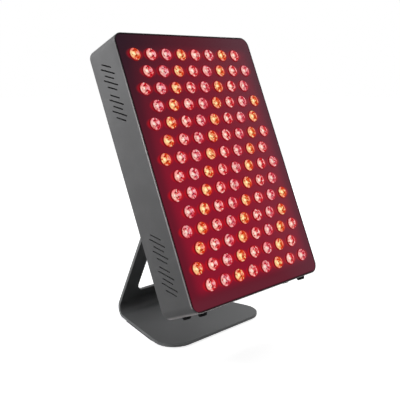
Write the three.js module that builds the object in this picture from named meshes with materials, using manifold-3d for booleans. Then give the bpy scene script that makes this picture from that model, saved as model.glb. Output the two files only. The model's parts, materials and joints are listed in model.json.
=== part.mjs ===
// Red light therapy panel on a bent steel stand with a clamped tilt hinge.
// Millimetres, +Z up, the lamps face -Y, the origin is on the ground below the middle of the whole.
import * as THREE from 'three';
import { mergeVertices } from 'three/addons/utils/BufferGeometryUtils.js';
import Module from 'manifold-3d';

const wasm = await Module();
wasm.setup();

// Fits, cutting tools and facets
const gap = 0.3;
const overrun = 1;
const weld = 0.0001;
const cornerSegments = 3;
const roundSides = 16;
const smallRoundSides = 8;
const lampSides = 8;

// Lamp grid: odd rows lie a quarter pitch to the left, even rows a quarter pitch to the right
const lampRows = 14;
const lampColumns = 8;
const columnPitch = 24;
const rowPitch = 21.2;
const rowShiftShare = 0.25;
const lensDiameter = 16.2;
const lensRise = 1.2;
const lensFootThickness = 3;
const lensClearance = 0.4;
const lampSideMargin = 15.7;
const lampEndMargin = 18.6;

// Housing, a sleeve with a lip behind each cover
const panelWidth = columnPitch * (lampColumns - 1 + 2 * rowShiftShare) + lensDiameter + 2 * lampSideMargin;
const panelHeight = rowPitch * (lampRows - 1) + lensDiameter + 2 * lampEndMargin;
const panelCornerRadius = 12.5;
const housingWall = 1.5;
const coverThickness = 1.5;
const lipWidth = 6;
const lipThickness = 1.5;
const panelLean = THREE.MathUtils.degToRad(23.66);

// Side slots: on each side two groups of ten, each a pair of fives
const slotWidth = 1.6;
const shortSlotLength = 18.2;
const longSlotLength = 27;
const slotPitch = 6.85;
const slotsInFive = 5;
const fivesGap = 9.8;
const slotGroupHeight = 102.4;
const slotAngle = THREE.MathUtils.degToRad(32.6);

// Lamp board and heat sink, between the lips
const boardSideClearance = 2.3;
const boardEndClearance = 6;
const boardWidth = panelWidth - 2 * (housingWall + lipWidth + boardSideClearance);
const boardHeight = panelHeight - 2 * (housingWall + lipWidth + boardEndClearance);
const boardThickness = 1.6;
const sinkBaseThickness = 3;
const finHeight = 12;
const finThickness = 1.6;
const finCount = 20;

// Lamp drivers
const driverWidth = 92;
const driverHeight = 58;
const driverDepth = 22;
const driverBackClearance = 7.2;
const driversApart = 8;
const driverSpacing = driverWidth + driversApart;
const driverFlangeThickness = 2;
const driverFlangeReach = 7;

// Fans and their guards
const fanSize = 80;
const fanDepth = 15;
const fanCornerRadius = 4;
const fanRim = 2.5;
const fanBore = fanSize - 2 * fanRim;
const fanOpeningOverlap = 0.5;
const fanOpening = fanBore - 2 * fanOpeningOverlap;
const rotorHubDiameter = 34;
const rotorHubDepth = 10;
const rotorTipGap = 1;
const bladeCount = 7;
const bladeThickness = 1.4;
const bladePitch = THREE.MathUtils.degToRad(32);
const bladeInset = 0.2;
const bladeRise = rotorHubDepth - 2 * bladeInset - bladeThickness * Math.cos(bladePitch);
const bladeChord = bladeRise / Math.sin(bladePitch);
const bladeRootSink = 2;
const strutWidth = 4;
const strutThickness = 2.2;
const strutCount = 4;
const motorPlateDiameter = 32;
const guardWire = 1.8;
const guardWeldDepth = 0.4;
const guardRings = 3;
const guardHubDiameter = 18;
const guardRingPitch = (fanBore - guardHubDiameter) / (2 * guardRings);
const fanScrewInset = 4.25;
const guardScrewPitch = fanSize - 2 * fanScrewInset;
const guardEyeDiameter = 8;
const guardSides = 10;

// Rocker switches
const rockerWidth = 9.6;
const rockerHeight = 15;
const rockerRise = 1.6;
const rockerDrop = 3.4;
const rockerClearance = 1;
const rockerThrow = THREE.MathUtils.degToRad(7);
const switchWall = 1.3;
const switchBodyWidth = rockerWidth + 2 * (gap + switchWall);
const switchBodyHeight = rockerHeight + 2 * (rockerClearance + switchWall);
const switchBodyDepth = 17;
const switchBezelOverlap = 1.1;
const switchBezelThickness = 2;
const switchBezelRadius = 1.5;
const switchBezelWidth = switchBodyWidth + 2 * switchBezelOverlap;
const switchBezelHeight = switchBodyHeight + 2 * switchBezelOverlap;
const switchesApart = 7;
const switchSpacing = switchBezelWidth + switchesApart;
const switchRowOffset = -46;
const serviceRowMargin = 21.5;
const serviceRowHeight = serviceRowMargin - panelHeight / 2;

// Mains inlet
const inletPocketWidth = 24.6;
const inletPocketHeight = 16.6;
const inletPocketDepth = 15.5;
const inletPocketChamfer = 4.5;
const inletWall = 1.95;
const inletFloor = 3.5;
const inletBodyWidth = inletPocketWidth + 2 * inletWall;
const inletBodyHeight = inletPocketHeight + 2 * inletWall;
const inletBodyDepth = inletPocketDepth + inletFloor;
const inletFlangeOverlap = 2.5;
const inletFlangeThickness = 2.5;
const inletFlangeRadius = 2;
const inletFlangeWidth = inletBodyWidth + 2 * inletFlangeOverlap;
const inletFlangeHeight = inletBodyHeight + 2 * inletFlangeOverlap;
const inletOffset = 62;

// Rubber feet under the housing
const footDiameter = 11;
const footTipDiameter = 9;
const footHeight = 4;
const footSideMargin = 23.8;
const footEdgeDistance = 12.5;

// Stand: one plate, cut to a taper and bent once
const plateThickness = 4;
const baseFrontWidth = 186;
const baseLength = 125.5;
const baseTaperShare = 0.235;
const baseCornerRadius = 27.5;
const bendRadius = 11.3;
const bendSegments = 7;
const armLean = THREE.MathUtils.degToRad(20);
const armLength = 200;
const armTaperShare = 0.115;
const windowSill = 10.7;
const windowStripWidth = 23;
const windowHeadMargin = 48;
const windowCornerRadius = 11;

// Rubber pad under the stand
const padThickness = 1.2;
const padSideInset = 0.4;
const padFrontInset = 6;
const padCornerRadius = 34;
const padBendMargin = 10;

// Tilt hinge: a barrel on the arm, a bracket on the rear cover, a rod and two knobs
const hingeReach = 16;
const hingeAboveCentre = 15;
const barrelDiameter = 14;
const barrelOverhang = 0.4;
const rodDiameter = 8;
const rodEngagement = 12;
const earThickness = 3;
const earRadius = 10;
const bracketThickness = 3;
const bracketHeight = 44;
const washerDiameter = 19;
const washerThickness = 1.5;
const knobDiameter = 28;
const knobLobeDepth = 1.6;
const knobLobes = 6;
const knobLobeSteps = 4;
const knobGripDepth = 13;
const knobHubDiameter = 20;
const knobHubDepth = 5;
const screwSpacingAcross = 50;
const screwSpacingUp = 30;
const screwDiameter = 4;
const screwHeadDiameter = 7.6;
const screwHeadHeight = 2.4;
const pressNutDiameter = 8;
const pressNutHeight = 3;

// Depths behind the front face, from the front to the back: what the housing holds gives its depth
const sheetFront = coverThickness + gap;
const boardFront = sheetFront + lensFootThickness + gap;
const sinkFront = boardFront + boardThickness + gap;
const driverFront = sinkFront + sinkBaseThickness + finHeight + gap;
const rearCoverFront = driverFront + driverDepth + driverBackClearance;
const panelDepth = rearCoverFront + coverThickness;
const fanBack = rearCoverFront - gap;
const fanFront = fanBack - fanDepth;
const outsideBack = panelDepth + gap;

// Heights of the fans: midway between the drivers and what lies beyond, above and below
const driverReach = driverHeight / 2 + driverFlangeReach;
const upperInside = panelHeight / 2 - housingWall - lipWidth;
const serviceTop = serviceRowHeight + switchBodyHeight / 2;
const upperFanHeight = (hingeAboveCentre + driverReach + upperInside) / 2;
const lowerFanHeight = (hingeAboveCentre - driverReach + serviceTop) / 2;

// Finishes
const paint = new THREE.MeshStandardMaterial({ color: 0x5f6163, roughness: 0.55, metalness: 0.35 });
const frontPaint = new THREE.MeshStandardMaterial({ color: 0x2a2024, roughness: 0.5, metalness: 0.2 });
const clearLens = new THREE.MeshStandardMaterial({ color: 0xff6a5c, roughness: 0.15, metalness: 0 });
const boardFinish = new THREE.MeshStandardMaterial({ color: 0xe6e4dc, roughness: 0.6, metalness: 0 });
const aluminium = new THREE.MeshStandardMaterial({ color: 0xb9bcc0, roughness: 0.4, metalness: 1 });
const blackPlastic = new THREE.MeshStandardMaterial({ color: 0x1c1c1e, roughness: 0.5, metalness: 0 });
const guardSteel = new THREE.MeshStandardMaterial({ color: 0x2b2c2e, roughness: 0.45, metalness: 0.6 });
const rubber = new THREE.MeshStandardMaterial({ color: 0x141414, roughness: 0.85, metalness: 0 });
const steel = new THREE.MeshStandardMaterial({ color: 0xa4a6a8, roughness: 0.35, metalness: 1 });
const rockerRed = new THREE.MeshStandardMaterial({ color: 0x8c1a1a, roughness: 0.35, metalness: 0 });

// Solids
function toSolid(geometry) {
  const bare = geometry.clone();
  bare.deleteAttribute('normal');
  bare.deleteAttribute('uv');
  const merged = mergeVertices(bare, weld);
  const index = merged.index.array;
  const triVerts = [];
  for (let i = 0; i < index.length; i += 3) {
    const [a, b, c] = index.slice(i, i + 3);
    if (a !== b && b !== c && c !== a) triVerts.push(a, b, c);
  }
  return new wasm.Manifold(new wasm.Mesh({
    numProp: 3,
    vertProperties: Float32Array.from(merged.attributes.position.array),
    triVerts: Uint32Array.from(triVerts),
  }));
}

function toGeometry(solid) {
  const mesh = solid.getMesh();
  const geometry = new THREE.BufferGeometry();
  geometry.setAttribute('position', new THREE.BufferAttribute(mesh.vertProperties, 3));
  geometry.setIndex(new THREE.BufferAttribute(mesh.triVerts, 1));
  geometry.computeVertexNormals();
  return geometry;
}

function join(...geometries) {
  return toGeometry(geometries.map(toSolid).reduce((whole, piece) => whole.add(piece)));
}

function cut(geometry, ...tools) {
  return toGeometry(tools.map(toSolid).reduce((whole, tool) => whole.subtract(tool), toSolid(geometry)));
}

// A closed body through rings of points, each ring convex and with the same number of points
function loft(rings) {
  const count = rings[0].length;
  const positions = rings.flat().flatMap((p) => [p.x, p.y, p.z]);
  const index = [];
  for (let r = 0; r + 1 < rings.length; r += 1) {
    for (let i = 0; i < count; i += 1) {
      const a = r * count + i;
      const b = r * count + (i + 1) % count;
      index.push(a, b, b + count, a, b + count, a + count);
    }
  }
  const last = (rings.length - 1) * count;
  for (let i = 1; i + 1 < count; i += 1) {
    index.push(0, i + 1, i);
    index.push(last, last + i, last + i + 1);
  }
  const geometry = new THREE.BufferGeometry();
  geometry.setAttribute('position', new THREE.Float32BufferAttribute(positions, 3));
  geometry.setIndex(index);
  geometry.computeVertexNormals();
  return geometry;
}

// Outlines
function roundedRectangle(width, height, radius, x = 0, y = 0) {
  const shape = new THREE.Shape();
  const halfWidth = width / 2;
  const halfHeight = height / 2;
  shape.absarc(x + halfWidth - radius, y + halfHeight - radius, radius, 0, Math.PI / 2);
  shape.absarc(x - halfWidth + radius, y + halfHeight - radius, radius, Math.PI / 2, Math.PI);
  shape.absarc(x - halfWidth + radius, y - halfHeight + radius, radius, Math.PI, 1.5 * Math.PI);
  shape.absarc(x + halfWidth - radius, y - halfHeight + radius, radius, 1.5 * Math.PI, 2 * Math.PI);
  return shape;
}

function rectangle(width, height, x = 0, y = 0) {
  return new THREE.Shape([
    new THREE.Vector2(x - width / 2, y - height / 2),
    new THREE.Vector2(x + width / 2, y - height / 2),
    new THREE.Vector2(x + width / 2, y + height / 2),
    new THREE.Vector2(x - width / 2, y + height / 2),
  ]);
}

function polygonRing(diameter, sides, x = 0, y = 0, z = 0) {
  const points = [];
  for (let i = 0; i < sides; i += 1) {
    const angle = 2 * Math.PI * (i + 0.5) / sides;
    points.push(new THREE.Vector3(x + diameter / 2 * Math.cos(angle), y + diameter / 2 * Math.sin(angle), z));
  }
  return points;
}

function polygon(diameter, sides, x = 0, y = 0) {
  return new THREE.Shape(polygonRing(diameter, sides, x, y).map((p) => new THREE.Vector2(p.x, p.y)));
}

// The diameter of a polygon hole that leaves the clearance round a shaft at every angle
function holeFor(diameter, clearance, sides) {
  return (diameter + 2 * clearance) / Math.cos(Math.PI / sides);
}

function withHoles(shape, holes) {
  shape.holes.push(...holes);
  return shape;
}

// A slab in the face frame: X to the right, Y up, Z out of the lamp face, depths counted backwards
function slab(shape, front, back) {
  const geometry = new THREE.ExtrudeGeometry(shape, {
    depth: back - front,
    bevelEnabled: false,
    curveSegments: cornerSegments,
  });
  return geometry.translate(0, 0, -back);
}

// A round bar along X from one place to another
function barAlongX(diameter, from, to, sides) {
  const section = polygon(diameter, sides);
  const geometry = new THREE.ExtrudeGeometry(section, { depth: to - from, bevelEnabled: false });
  return geometry.rotateY(Math.PI / 2).translate(from, 0, 0);
}

// A cutting tool for the hinge rod, to the same length on both sides
function rodHole(halfLength) {
  return barAlongX(holeFor(rodDiameter, gap, roundSides), -halfLength, halfLength, roundSides);
}

function named(name, geometry, material) {
  const mesh = new THREE.Mesh(geometry, material);
  mesh.name = name;
  return mesh;
}

// The housing's outline, set inwards all round
function panelOutline(inset) {
  const radius = Math.max(panelCornerRadius - inset, weld);
  return roundedRectangle(panelWidth - 2 * inset, panelHeight - 2 * inset, radius);
}

// Lamp places: X and height of the lamp at a row and a column, both counted from nought
function lampHeight(row) {
  return ((lampRows - 1) / 2 - row) * rowPitch;
}

function lampX(row, column) {
  const shift = row % 2 === 0 ? -rowShiftShare : rowShiftShare;
  return (column - (lampColumns - 1) / 2 + shift) * columnPitch;
}

// The outline of the covers, which lie inside the housing's sleeve
function coverOutline() {
  return panelOutline(housingWall + gap);
}

function frontCover() {
  const holes = [];
  for (let row = 0; row < lampRows; row += 1) {
    for (let column = 0; column < lampColumns; column += 1) {
      const diameter = lensDiameter + 2 * lensClearance;
      holes.push(polygon(diameter, lampSides, lampX(row, column), lampHeight(row)));
    }
  }
  return slab(withHoles(coverOutline(), holes), 0, coverThickness);
}

// A strip of eight lenses: domes that stand through the front cover, on one foot behind it
function lensRow(row) {
  const stripWidth = columnPitch * lampColumns;
  const stripHeight = rowPitch - gap;
  const foot = new THREE.BoxGeometry(stripWidth, stripHeight, lensFootThickness);
  foot.translate((lampX(row, 0) + lampX(row, lampColumns - 1)) / 2, 0, -sheetFront - lensFootThickness / 2);
  const domes = [];
  for (let column = 0; column < lampColumns; column += 1) {
    const rings = [
      [lensDiameter, -sheetFront - lensFootThickness / 2],
      [lensDiameter, 0],
      [0, lensRise],
    ].map(([diameter, z]) => polygonRing(diameter, lampSides, lampX(row, column), 0, z));
    domes.push(loft(rings));
  }
  return join(foot, ...domes);
}

// The slots of one side in a frame of depth and height, as cutting tools along X
function slotTools() {
  const tools = [];
  const middleOfFive = (slotsInFive - 1) / 2;
  const fiveOffset = middleOfFive * slotPitch + fivesGap / 2;
  for (const group of [-slotGroupHeight, slotGroupHeight]) {
    for (const five of [-fiveOffset, fiveOffset]) {
      for (let i = 0; i < slotsInFive; i += 1) {
        const length = i % 2 === 0 ? shortSlotLength : longSlotLength;
        const tool = new THREE.BoxGeometry(panelWidth + 2 * overrun, slotWidth, length);
        const height = group + five + (middleOfFive - i) * slotPitch;
        tools.push(tool.rotateX(slotAngle).translate(0, height, -panelDepth / 2));
      }
    }
  }
  return tools;
}

function housing() {
  const ring = (inset, wall, front, back) => {
    const outline = withHoles(panelOutline(inset), [panelOutline(inset + wall)]);
    return slab(outline, front, back);
  };
  const sleeve = ring(0, housingWall, 0, panelDepth);
  const lipInset = housingWall / 2;
  const lipReach = housingWall - lipInset + lipWidth;
  const frontLip = ring(lipInset, lipReach, sheetFront, sheetFront + lipThickness);
  const rearLip = ring(lipInset, lipReach, rearCoverFront - gap - lipThickness, rearCoverFront - gap);
  return cut(join(sleeve, frontLip, rearLip), ...slotTools());
}

function ledBoard() {
  return slab(rectangle(boardWidth, boardHeight), boardFront, boardFront + boardThickness);
}

// A comb section pushed along the height of the panel
function heatSink() {
  const shape = new THREE.Shape();
  const half = boardWidth / 2;
  const finPitch = (boardWidth - finThickness) / (finCount - 1);
  shape.moveTo(-half, 0);
  shape.lineTo(half, 0);
  for (let i = finCount - 1; i >= 0; i -= 1) {
    const x = -half + i * finPitch;
    if (i < finCount - 1) shape.lineTo(x + finThickness, sinkBaseThickness);
    shape.lineTo(x + finThickness, sinkBaseThickness + finHeight);
    shape.lineTo(x, sinkBaseThickness + finHeight);
    if (i > 0) shape.lineTo(x, sinkBaseThickness);
  }
  shape.closePath();
  const comb = new THREE.ExtrudeGeometry(shape, { depth: boardHeight, bevelEnabled: false });
  return comb.rotateX(-Math.PI / 2).translate(0, -boardHeight / 2, -sinkFront);
}

// A driver box with a screw flange at each end, lying on the fins
function driver() {
  const flangeHeight = driverHeight + 2 * driverFlangeReach;
  const flange = slab(rectangle(driverWidth, flangeHeight),
    driverFront, driverFront + driverFlangeThickness);
  const box = slab(rectangle(driverWidth, driverHeight),
    driverFront + driverFlangeThickness / 2, driverFront + driverDepth);
  return join(flange, box);
}

// The rear cover with its fan openings, its service cut-outs and a pressed-in nut for each screw
function rearCover() {
  const fanHoles = [upperFanHeight, lowerFanHeight].map((y) => polygon(fanOpening, roundSides, 0, y));
  const sheet = slab(withHoles(coverOutline(), fanHoles), rearCoverFront, panelDepth);
  const cutoutWidth = switchBodyWidth + 2 * gap;
  const cutoutHeight = switchBodyHeight + 2 * gap;
  const cutouts = [
    ...switchPlaces().map(([x, y]) => rectangle(cutoutWidth, cutoutHeight, x, y)),
    rectangle(inletBodyWidth + 2 * gap, inletBodyHeight + 2 * gap, inletOffset, serviceRowHeight),
  ].map((shape) => slab(shape, rearCoverFront - overrun, panelDepth + overrun));
  const nutFront = rearCoverFront - pressNutHeight;
  const nuts = screwPlaces().map(([x, y]) => {
    const nut = polygon(pressNutDiameter, smallRoundSides, x, y);
    return slab(nut, nutFront, (rearCoverFront + panelDepth) / 2);
  });
  return cut(join(sheet, ...nuts), ...screwBores(nutFront, panelDepth), ...cutouts);
}

// Cutting tools for the bracket's screws through the sheets between two depths
function screwBores(front, back) {
  const diameter = holeFor(screwDiameter, gap, smallRoundSides);
  return screwPlaces().map(([x, y]) => {
    const bore = polygon(diameter, smallRoundSides, x, y);
    return slab(bore, front - overrun, back + overrun);
  });
}

// Fan parts, centred on the fan's own axis
function fanFrame() {
  const square = roundedRectangle(fanSize, fanSize, fanCornerRadius);
  const ring = slab(withHoles(square, [polygon(fanBore, roundSides)]), fanFront, fanBack);
  const plate = slab(polygon(motorPlateDiameter, smallRoundSides), fanFront, fanFront + strutThickness);
  const struts = [];
  for (let i = 0; i < strutCount / 2; i += 1) {
    const strut = new THREE.BoxGeometry((fanBore + fanSize) / 2, strutWidth, strutThickness);
    strut.rotateZ(i * Math.PI / 2).translate(0, 0, -fanFront - strutThickness / 2);
    struts.push(strut);
  }
  return join(ring, plate, ...struts);
}

function fanRotor() {
  const hubFront = fanFront + strutThickness + gap;
  const hubBack = hubFront + rotorHubDepth;
  const hub = slab(polygon(rotorHubDiameter, smallRoundSides), hubFront, hubBack);
  const radii = [rotorHubDiameter / 2 - bladeRootSink, fanBore / 2 - rotorTipGap];
  const blades = [];
  for (let i = 0; i < bladeCount; i += 1) {
    const turn = 2 * Math.PI * i / bladeCount;
    const rings = radii.map((radius, end) => {
      const halfChord = (end === 0 ? rotorHubDiameter / 2 : bladeChord) / 2;
      return [[-1, -1], [1, -1], [1, 1], [-1, 1]].map(([along, across]) => {
        const chord = along * halfChord;
        const thick = across * bladeThickness / 2;
        const sweep = chord * Math.cos(bladePitch) - thick * Math.sin(bladePitch);
        const rise = chord * Math.sin(bladePitch) + thick * Math.cos(bladePitch);
        const reach = Math.sqrt(Math.max(radius * radius - sweep * sweep, 0));
        return new THREE.Vector3(reach, sweep, rise - (hubFront + hubBack) / 2);
      });
    });
    blades.push(loft(rings).rotateZ(turn));
  }
  return join(hub, ...blades);
}

// A finger guard: rings welded on a cross of wires that ends in four screw eyes
function fanGuard() {
  const front = outsideBack;
  const back = outsideBack + guardWire;
  const ringFront = back - guardWeldDepth;
  const ringBack = ringFront + guardWire;
  const pieces = [slab(polygon(guardHubDiameter, guardSides), ringFront, ringBack)];
  for (let i = 0; i < guardRings; i += 1) {
    const diameter = guardHubDiameter + 2 * (i + 1) * guardRingPitch;
    const outline = withHoles(polygon(diameter, guardSides), [polygon(diameter - 2 * guardWire, guardSides)]);
    pieces.push(slab(outline, ringFront, ringBack));
  }
  const eyeOffset = guardScrewPitch / 2;
  const reach = eyeOffset * Math.SQRT2;
  for (const turn of [Math.PI / 4, -Math.PI / 4]) {
    const bar = new THREE.BoxGeometry(2 * reach, guardWire, guardWire);
    pieces.push(bar.rotateZ(turn).translate(0, 0, -(front + back) / 2));
  }
  for (const x of [-1, 1]) {
    for (const y of [-1, 1]) {
      const eye = polygon(guardEyeDiameter, smallRoundSides, x * eyeOffset, y * eyeOffset);
      pieces.push(slab(eye, front, back));
    }
  }
  return join(...pieces);
}

// Places of the switches and of the bracket's screws on the rear cover
function switchPlaces() {
  return [-1, 1].map((side) => [switchRowOffset + side * switchSpacing / 2, serviceRowHeight]);
}

function screwPlaces() {
  const places = [];
  for (const x of [-1, 1]) {
    for (const y of [-1, 1]) {
      places.push([x * screwSpacingAcross / 2, hingeAboveCentre + y * screwSpacingUp / 2]);
    }
  }
  return places;
}

function switchBody() {
  const bezelBack = outsideBack + switchBezelThickness;
  const outline = roundedRectangle(switchBezelWidth, switchBezelHeight, switchBezelRadius);
  const bezel = slab(outline, outsideBack, bezelBack);
  const body = slab(rectangle(switchBodyWidth, switchBodyHeight),
    bezelBack - switchBodyDepth, bezelBack - switchBezelThickness / 2);
  const pocketWidth = rockerWidth + 2 * gap;
  const pocketHeight = rockerHeight + 2 * rockerClearance;
  const pocketFloor = outsideBack - rockerDrop - rockerClearance;
  const pocket = slab(rectangle(pocketWidth, pocketHeight), pocketFloor, bezelBack + overrun);
  return cut(join(bezel, body), pocket);
}

// A rocker cap about its own pivot axis, which lies along X; its two faces meet in a shallow valley
function rockerCap() {
  const half = rockerHeight / 2;
  const shape = new THREE.Shape();
  shape.moveTo(-half, -rockerDrop / 2);
  shape.lineTo(-half + rockerDrop / 2, -rockerDrop);
  shape.lineTo(half - rockerDrop / 2, -rockerDrop);
  shape.lineTo(half, -rockerDrop / 2);
  shape.lineTo(half, switchBezelThickness + rockerRise);
  shape.lineTo(0, switchBezelThickness);
  shape.lineTo(-half, switchBezelThickness + rockerRise);
  shape.closePath();
  const cap = new THREE.ExtrudeGeometry(shape, { depth: rockerWidth, bevelEnabled: false });
  const turned = new THREE.Matrix4().makeBasis(
    new THREE.Vector3(0, 1, 0), new THREE.Vector3(0, 0, -1), new THREE.Vector3(-1, 0, 0));
  return cap.applyMatrix4(turned).translate(rockerWidth / 2, 0, 0);
}

function powerInlet() {
  const flangeBack = outsideBack + inletFlangeThickness;
  const flange = slab(roundedRectangle(inletFlangeWidth, inletFlangeHeight, inletFlangeRadius),
    outsideBack, flangeBack);
  const body = slab(rectangle(inletBodyWidth, inletBodyHeight),
    flangeBack - inletBodyDepth, flangeBack - inletFlangeThickness / 2);
  const halfWidth = inletPocketWidth / 2;
  const halfHeight = inletPocketHeight / 2;
  const pocket = new THREE.Shape([
    new THREE.Vector2(-halfWidth, -halfHeight),
    new THREE.Vector2(halfWidth, -halfHeight),
    new THREE.Vector2(halfWidth, halfHeight - inletPocketChamfer),
    new THREE.Vector2(halfWidth - inletPocketChamfer, halfHeight),
    new THREE.Vector2(-halfWidth + inletPocketChamfer, halfHeight),
    new THREE.Vector2(-halfWidth, halfHeight - inletPocketChamfer),
  ]);
  return cut(join(flange, body), slab(pocket, flangeBack - inletPocketDepth, flangeBack + overrun));
}

function foot() {
  return loft([
    polygonRing(footTipDiameter, smallRoundSides, 0, 0, -footHeight),
    polygonRing(footDiameter, smallRoundSides),
  ]);
}

// The bracket: a base on the rear cover with an ear at each end that carries the rod
function tiltBracket() {
  const baseBack = outsideBack + bracketThickness;
  const base = new THREE.BoxGeometry(2 * earOutside, bracketHeight, bracketThickness);
  base.translate(0, hingeAboveCentre, -(outsideBack + baseBack) / 2);
  const axisDepth = panelDepth + hingeReach;
  const profile = new THREE.Shape();
  profile.moveTo(outsideBack, -bracketHeight / 2);
  profile.lineTo(axisDepth, -earRadius);
  profile.absarc(axisDepth, 0, earRadius, -Math.PI / 2, Math.PI / 2);
  profile.lineTo(outsideBack, bracketHeight / 2);
  profile.closePath();
  const ears = [-earOutside, earInside].map((x) => {
    const ear = new THREE.ExtrudeGeometry(profile, {
      depth: earThickness,
      bevelEnabled: false,
      curveSegments: 2 * cornerSegments,
    });
    return ear.rotateY(Math.PI / 2).translate(x, hingeAboveCentre, 0);
  });
  const bore = rodHole(earOutside + overrun).translate(0, hingeAboveCentre, -axisDepth);
  return cut(join(base, ...ears), bore, ...screwBores(outsideBack, baseBack));
}

// A screw with its head on the bracket's base and its end through the pressed-in nut
function bracketScrew() {
  const headFront = outsideBack + bracketThickness + gap;
  const shaftFront = rearCoverFront - pressNutHeight - gap;
  const shaft = slab(polygon(screwDiameter, smallRoundSides), shaftFront, headFront + gap);
  const head = slab(polygon(screwHeadDiameter, smallRoundSides), headFront, headFront + screwHeadHeight);
  return join(shaft, head);
}

// The stand's plate: how wide it is at a length along it, and its section there
const armAngle = Math.PI / 2 + armLean;
const bendLength = (bendRadius + plateThickness / 2) * armAngle;
const plateBottom = padThickness + gap;

function plateHalfWidth(length) {
  const taperEnd = baseLength + bendLength;
  const beyond = Math.max(length - taperEnd, 0);
  return baseFrontWidth / 2 - Math.min(length, taperEnd) * baseTaperShare - beyond * armTaperShare;
}

// The ring of four corners of the plate's section at a place and a slope
function plateRing(y, z, slope, halfWidth) {
  const innerY = y - plateThickness * Math.sin(slope);
  const innerZ = z + plateThickness * Math.cos(slope);
  return [
    new THREE.Vector3(-halfWidth, y, z),
    new THREE.Vector3(-halfWidth, innerY, innerZ),
    new THREE.Vector3(halfWidth, innerY, innerZ),
    new THREE.Vector3(halfWidth, y, z),
  ];
}

// Rounded front corner of a tapering outline: distances from the front edge with their half widths
function frontCorner(halfWidth, taperShare, radius, segments) {
  const slant = Math.atan(taperShare);
  const centre = halfWidth - taperShare * radius - radius / Math.cos(slant);
  const places = [];
  for (let i = 0; i <= segments; i += 1) {
    const angle = -Math.PI / 2 + (Math.PI / 2 + slant) * i / segments;
    places.push([radius + radius * Math.sin(angle), centre + radius * Math.cos(angle)]);
  }
  return places;
}

const bendOuterRadius = bendRadius + plateThickness;
const armFoot = new THREE.Vector3(
  0,
  baseLength + bendOuterRadius * Math.sin(armAngle),
  plateBottom + bendOuterRadius * (1 - Math.cos(armAngle)),
);
const hingeAxis = armFoot.clone()
  .add(new THREE.Vector3(0, Math.cos(armAngle), Math.sin(armAngle)).multiplyScalar(armLength))
  .add(new THREE.Vector3(0, -Math.sin(armAngle), Math.cos(armAngle)).multiplyScalar(plateThickness / 2));

// Places along the hinge axis: the barrel is a little wider than the plate beside the washers
const plateEnd = baseLength + bendLength + armLength;
const barrelLength = 2 * (plateHalfWidth(plateEnd - washerDiameter / 2) + barrelOverhang);
const earInside = barrelLength / 2 + gap + washerThickness + gap;
const earOutside = earInside + earThickness;
const knobInside = earOutside + gap + washerThickness + gap;
const rodHalfLength = knobInside + rodEngagement;

// Puts a piece made in the arm's frame (X across, Y up the arm, Z out of its front face) in place
function onArm(geometry) {
  return geometry.rotateX(armAngle).translate(armFoot.x, armFoot.y, armFoot.z);
}

function armWindow() {
  const sill = windowSill;
  const head = armLength - windowHeadMargin;
  const halfAt = (length) => plateHalfWidth(baseLength + bendLength + length) - windowStripWidth;
  const slant = Math.atan(armTaperShare);
  const radius = windowCornerRadius;
  const lowerCentre = halfAt(sill + radius) - radius / Math.cos(slant);
  const headRadius = Math.min(radius, halfAt(head) * Math.cos(slant) / 2);
  const upperCentre = halfAt(head - headRadius) - headRadius / Math.cos(slant);
  const shape = new THREE.Shape();
  shape.absarc(lowerCentre, sill + radius, radius, -Math.PI / 2, slant);
  shape.absarc(upperCentre, head - headRadius, headRadius, slant, Math.PI / 2);
  shape.absarc(-upperCentre, head - headRadius, headRadius, Math.PI / 2, Math.PI - slant);
  shape.absarc(-lowerCentre, sill + radius, radius, Math.PI - slant, 1.5 * Math.PI);
  const tool = new THREE.ExtrudeGeometry(shape, {
    depth: plateThickness + 2 * overrun,
    bevelEnabled: false,
    curveSegments: cornerSegments,
  });
  return onArm(tool.translate(0, 0, -overrun));
}

function standPlate() {
  const rings = frontCorner(baseFrontWidth / 2, baseTaperShare, baseCornerRadius, 2 * cornerSegments)
    .map(([length, halfWidth]) => plateRing(length, plateBottom, 0, halfWidth));
  for (let i = 0; i <= bendSegments; i += 1) {
    const slope = armAngle * i / bendSegments;
    const y = baseLength + bendOuterRadius * Math.sin(slope);
    const z = plateBottom + bendOuterRadius * (1 - Math.cos(slope));
    rings.push(plateRing(y, z, slope, plateHalfWidth(baseLength + bendLength * i / bendSegments)));
  }
  const topY = armFoot.y + armLength * Math.cos(armAngle);
  const topZ = armFoot.z + armLength * Math.sin(armAngle);
  rings.push(plateRing(topY, topZ, armAngle, plateHalfWidth(plateEnd)));
  const barrel = barAlongX(barrelDiameter, -barrelLength / 2, barrelLength / 2, roundSides);
  const bore = rodHole(barrelLength / 2 + overrun);
  for (const piece of [barrel, bore]) piece.translate(0, hingeAxis.y, hingeAxis.z);
  return cut(join(loft(rings), barrel), bore, armWindow());
}

function basePad() {
  const backLength = baseLength - padBendMargin;
  const halfWidth = plateHalfWidth(padFrontInset) - padSideInset;
  const corner = frontCorner(halfWidth, baseTaperShare, padCornerRadius, 2 * cornerSegments)
    .map(([length, half]) => new THREE.Vector2(half, padFrontInset + length));
  const right = [...corner, new THREE.Vector2(plateHalfWidth(backLength) - padSideInset, backLength)];
  const left = right.map((p) => new THREE.Vector2(-p.x, p.y)).reverse();
  const outline = new THREE.Shape([...right, ...left]);
  return new THREE.ExtrudeGeometry(outline, { depth: padThickness, bevelEnabled: false });
}

// Hinge parts about the hinge axis
function washer(from) {
  const hole = polygon(holeFor(rodDiameter, gap, roundSides), roundSides);
  const outline = withHoles(polygon(washerDiameter, roundSides), [hole]);
  const ring = new THREE.ExtrudeGeometry(outline, { depth: washerThickness, bevelEnabled: false });
  return ring.rotateY(Math.PI / 2).translate(from, 0, 0);
}

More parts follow.
